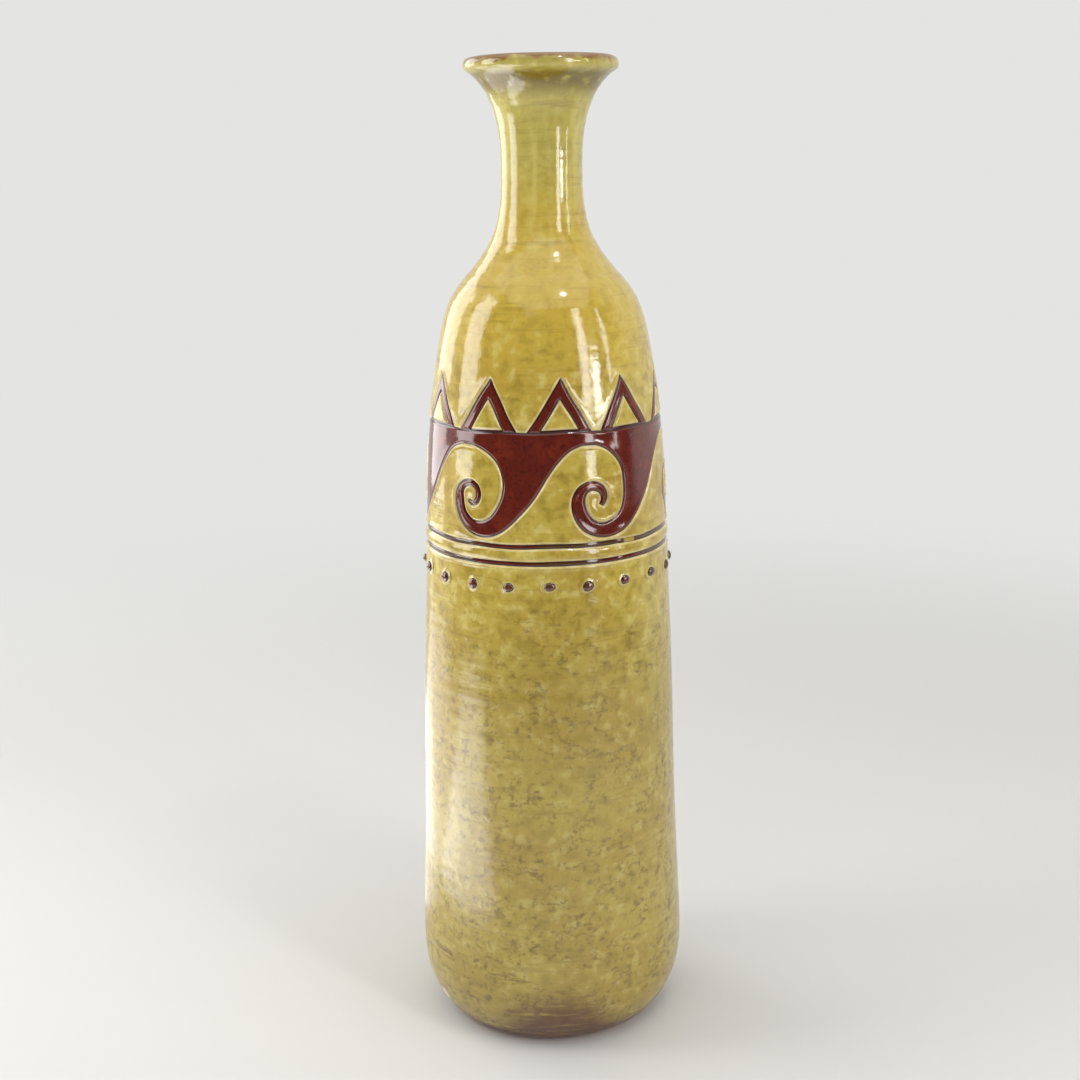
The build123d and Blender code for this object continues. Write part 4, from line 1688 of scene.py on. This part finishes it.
@dataclass(frozen=True)
class SoftBox:
    """A lamp with a soft face, turned towards a point of the vase's axis.

    Attributes:
        name: Name of the lamp.
        turn: Degrees round the vase from the front towards +X.
        distance: Metres from the axis.
        height: Metres above the floor.
        width: Metres across.
        tall: Metres from its lower to its upper edge.
        glow: Brightness of its face.
        aim: Height in metres of the point of the axis that it faces.
    """

    name: str
    turn: float
    distance: float
    height: float
    width: float
    tall: float
    glow: float
    aim: float

    def place(self) -> None:
        """Put the lamp in the scene."""
        data = bpy.data.lights.new(self.name, "AREA")
        data.shape = "RECTANGLE"
        data.size = self.width
        data.size_y = self.tall
        data.energy = self.glow * math.pi * self.width * self.tall
        lamp = bpy.data.objects.new(self.name, data)
        turn = math.radians(self.turn)
        lamp.location = (self.distance * math.sin(turn), -self.distance * math.cos(turn), self.height)
        way = Vector((0, 0, self.aim)) - lamp.location
        lamp.rotation_euler = way.to_track_quat("-Z", "Y").to_euler()
        lamp.visible_camera = False
        bpy.context.scene.collection.objects.link(lamp)


@dataclass
class Studio:
    """Pale floor that runs into a pale room, soft lamps, and the camera of the photograph."""

    camera_back: float = 0.6465
    camera_height: float = 0.3626
    camera_pitch: float = 13.58
    camera_roll: float = -0.8
    focal_pixels: float = 1593.0
    image_pixels: float = 1080.0
    shift_pixels: float = 6.93
    sensor: float = 36.0
    floor_reach: float = 9.0
    floor_sides: int = 96
    fade_start: float = 320.0
    fade_end: float = 1000.0
    floor_tone: Colour = tone(212, 211, 208)
    room_tone: Colour = tone(228, 228, 226)
    fill: float = 0.72
    front_glow: float = 0.1
    front_reach: float = -0.7
    room_reach: float = 0.4
    lamps: tuple[SoftBox, ...] = (
        SoftBox("left_window", -82, 0.55, 0.48, 0.22, 0.66, 3.9, 0.4),
        SoftBox("left_wall", -128, 1.2, 0.5, 0.7, 1.1, 2.6, 0.3),
        SoftBox("left_table", -74, 0.36, 0.012, 0.2, 0.4, 2.7, STRAIGHT_UP),
        SoftBox("left_table_back", -122, 0.42, 0.012, 0.4, 0.5, 1.3, STRAIGHT_UP),
        SoftBox("left_table_near", -150, 0.24, 0.012, 0.22, 0.3, 0.8, STRAIGHT_UP),
        SoftBox("right_window", 42, 0.8, 0.46, 0.12, 0.76, 6.0, 0.3),
        SoftBox("right_strip", 70, 0.9, 0.46, 0.05, 0.7, 6.0, 0.3),
        SoftBox("right_lamp", 53, 0.7, 0.37, 0.1, 0.12, 12.0, 0.3),
        SoftBox("overhead", 20, 0.2, 1.5, 1.8, 1.8, 0.75, 0.3),
        SoftBox("ceiling_lamp", 40, 0.42, 1.05, 0.05, 0.05, 60.0, 0.32),
    )

    def _floor(self) -> None:
        """Lay a round floor whose far part fades into the room."""
        turns = np.arange(self.floor_sides) * FULL_TURN / self.floor_sides
        reach = self.floor_reach
        points = [(reach * math.cos(turn), reach * math.sin(turn), 0.0) for turn in turns]
        mesh = bpy.data.meshes.new("floor")
        mesh.from_pydata(points, [], [tuple(range(self.floor_sides))])
        paint = Finish("floor_paint")
        cloud = paint.noise(300.0, 3.0)
        grain = paint.noise(2.0, 2.0)
        colour = paint.blend(paint.times(cloud, 0.12), self.floor_tone, self.room_tone)
        paint.dress(colour, paint.calc("ADD", paint.times(grain, 0.1), 0.75), paint.times(grain, 0.02))
        far = paint.band(paint.far_from((0.0, 0.0, 0.0)), self.fade_start, self.fade_end)
        room = paint.add("ShaderNodeEmission", {
            "Color": self.room_tone, "Strength": self._mirrored(paint, paint.place, self.fade_start)})
        share = paint.times(far, self._looked_at(paint))
        mixed = paint.add("ShaderNodeMixShader", {0: share, 1: paint.shader.outputs[0], 2: room.outputs[0]})
        paint.tree.links.new(mixed.outputs[0], paint.tree.nodes["Material Output"].inputs["Surface"])
        mesh.materials.append(paint.material)
        floor = bpy.data.objects.new("floor", mesh)
        bpy.context.scene.collection.objects.link(floor)

    def _looked_at(self, desk: NodeDesk) -> Socket:
        """One for rays that look at the background, straight or through gloss and glass."""
        ray = desk.add("ShaderNodeLightPath")
        seen = desk.calc("MAXIMUM", ray.outputs["Is Camera Ray"], ray.outputs["Is Glossy Ray"])
        return desk.calc("MAXIMUM", seen, ray.outputs["Is Transmission Ray"])

    def _mirrored(self, desk: NodeDesk, place: Socket, reach: float) -> Socket:
        """Strength of the room where it is looked at.

        Args:
            desk: Node tree of the floor or the room.
            place: Place on the floor, or direction into the room.
            reach: Distance over which the dim side towards the camera turns into the bright one.

        Returns:
            The strength, one straight on and behind the vase, and dim where gloss mirrors the front.
        """
        ray = desk.add("ShaderNodeLightPath")
        depth = desk.add("ShaderNodeSeparateXYZ", {0: place}).outputs[1]
        behind = desk.band(depth, self.front_reach * reach, reach)
        strength = desk.calc("ADD", desk.calc("MULTIPLY", behind, 1 - self.front_glow), self.front_glow)
        return desk.calc("MAXIMUM", strength, ray.outputs["Is Camera Ray"])

    def _room(self) -> None:
        """Even fill light from a pale room, dimmer on the camera's side where gloss mirrors it."""
        world = bpy.data.worlds.new("room")
        world.use_nodes = True
        desk = NodeDesk(world.node_tree)
        way = desk.add("ShaderNodeTexCoord").outputs["Generated"]
        mirrored = self._mirrored(desk, way, self.room_reach)
        change = desk.calc("MULTIPLY", self._looked_at(desk), desk.calc("SUBTRACT", mirrored, self.fill))
        backdrop = world.node_tree.nodes["Background"]
        backdrop.inputs["Color"].default_value = self.room_tone
        world.node_tree.links.new(desk.calc("ADD", change, self.fill), backdrop.inputs["Strength"])
        bpy.context.scene.world = world

    def _camera(self) -> None:
        """Set the camera where the photograph was taken from."""
        data = bpy.data.cameras.new("camera")
        data.sensor_fit = "HORIZONTAL"
        data.sensor_width = self.sensor
        data.lens = self.sensor * self.focal_pixels / self.image_pixels
        data.shift_x = -self.shift_pixels / self.image_pixels
        data.clip_start = 0.01
        camera = bpy.data.objects.new("camera", data)
        camera.location = (0.0, -self.camera_back, self.camera_height)
        camera.rotation_euler = (math.radians(90 - self.camera_pitch), 0.0, 0.0)
        camera.rotation_euler.rotate_axis("Z", math.radians(self.camera_roll))
        bpy.context.scene.collection.objects.link(camera)
        bpy.context.scene.camera = camera

    def build(self) -> None:
        """Set up the whole studio."""
        self._floor()
        self._room()
        self._camera()
        for lamp in self.lamps:
            lamp.place()
        bpy.context.scene.view_settings.view_transform = "Standard"


def main() -> None:
    """Build the vase's pieces in order, then the studio around them."""
    logging.basicConfig(level=logging.INFO, format="%(name)s: %(message)s")
    wall = ThrownWall()
    yellow = YellowGlaze().material()
    brown = BrownGlaze().material()
    clay = RedClay().material()
    liner = LinerGlaze().material()
    pellet = BrownGlaze(Slot.PELLET.value, index=1.9, dull=0.08).material()
    dressed = {"lower_body": clay, "shoulder": clay, "neck": clay, "liner_glaze": liner}
    for name, material in dressed.items():
        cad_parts[name].data.materials[0] = material
        log.info("%s: dressed in %s", name, material.name)
    ornament = Ornament(wall)
    glazes = OrnamentGlazes(ornament, yellow, brown)
    glazes.build()
    LowerCoat(wall, yellow, glazes.field_edge, ornament.rings.edges()[0]).build()
    PelletRow(wall, yellow, pellet).build()
    Studio().build()


if __name__ == "__main__":
    main()
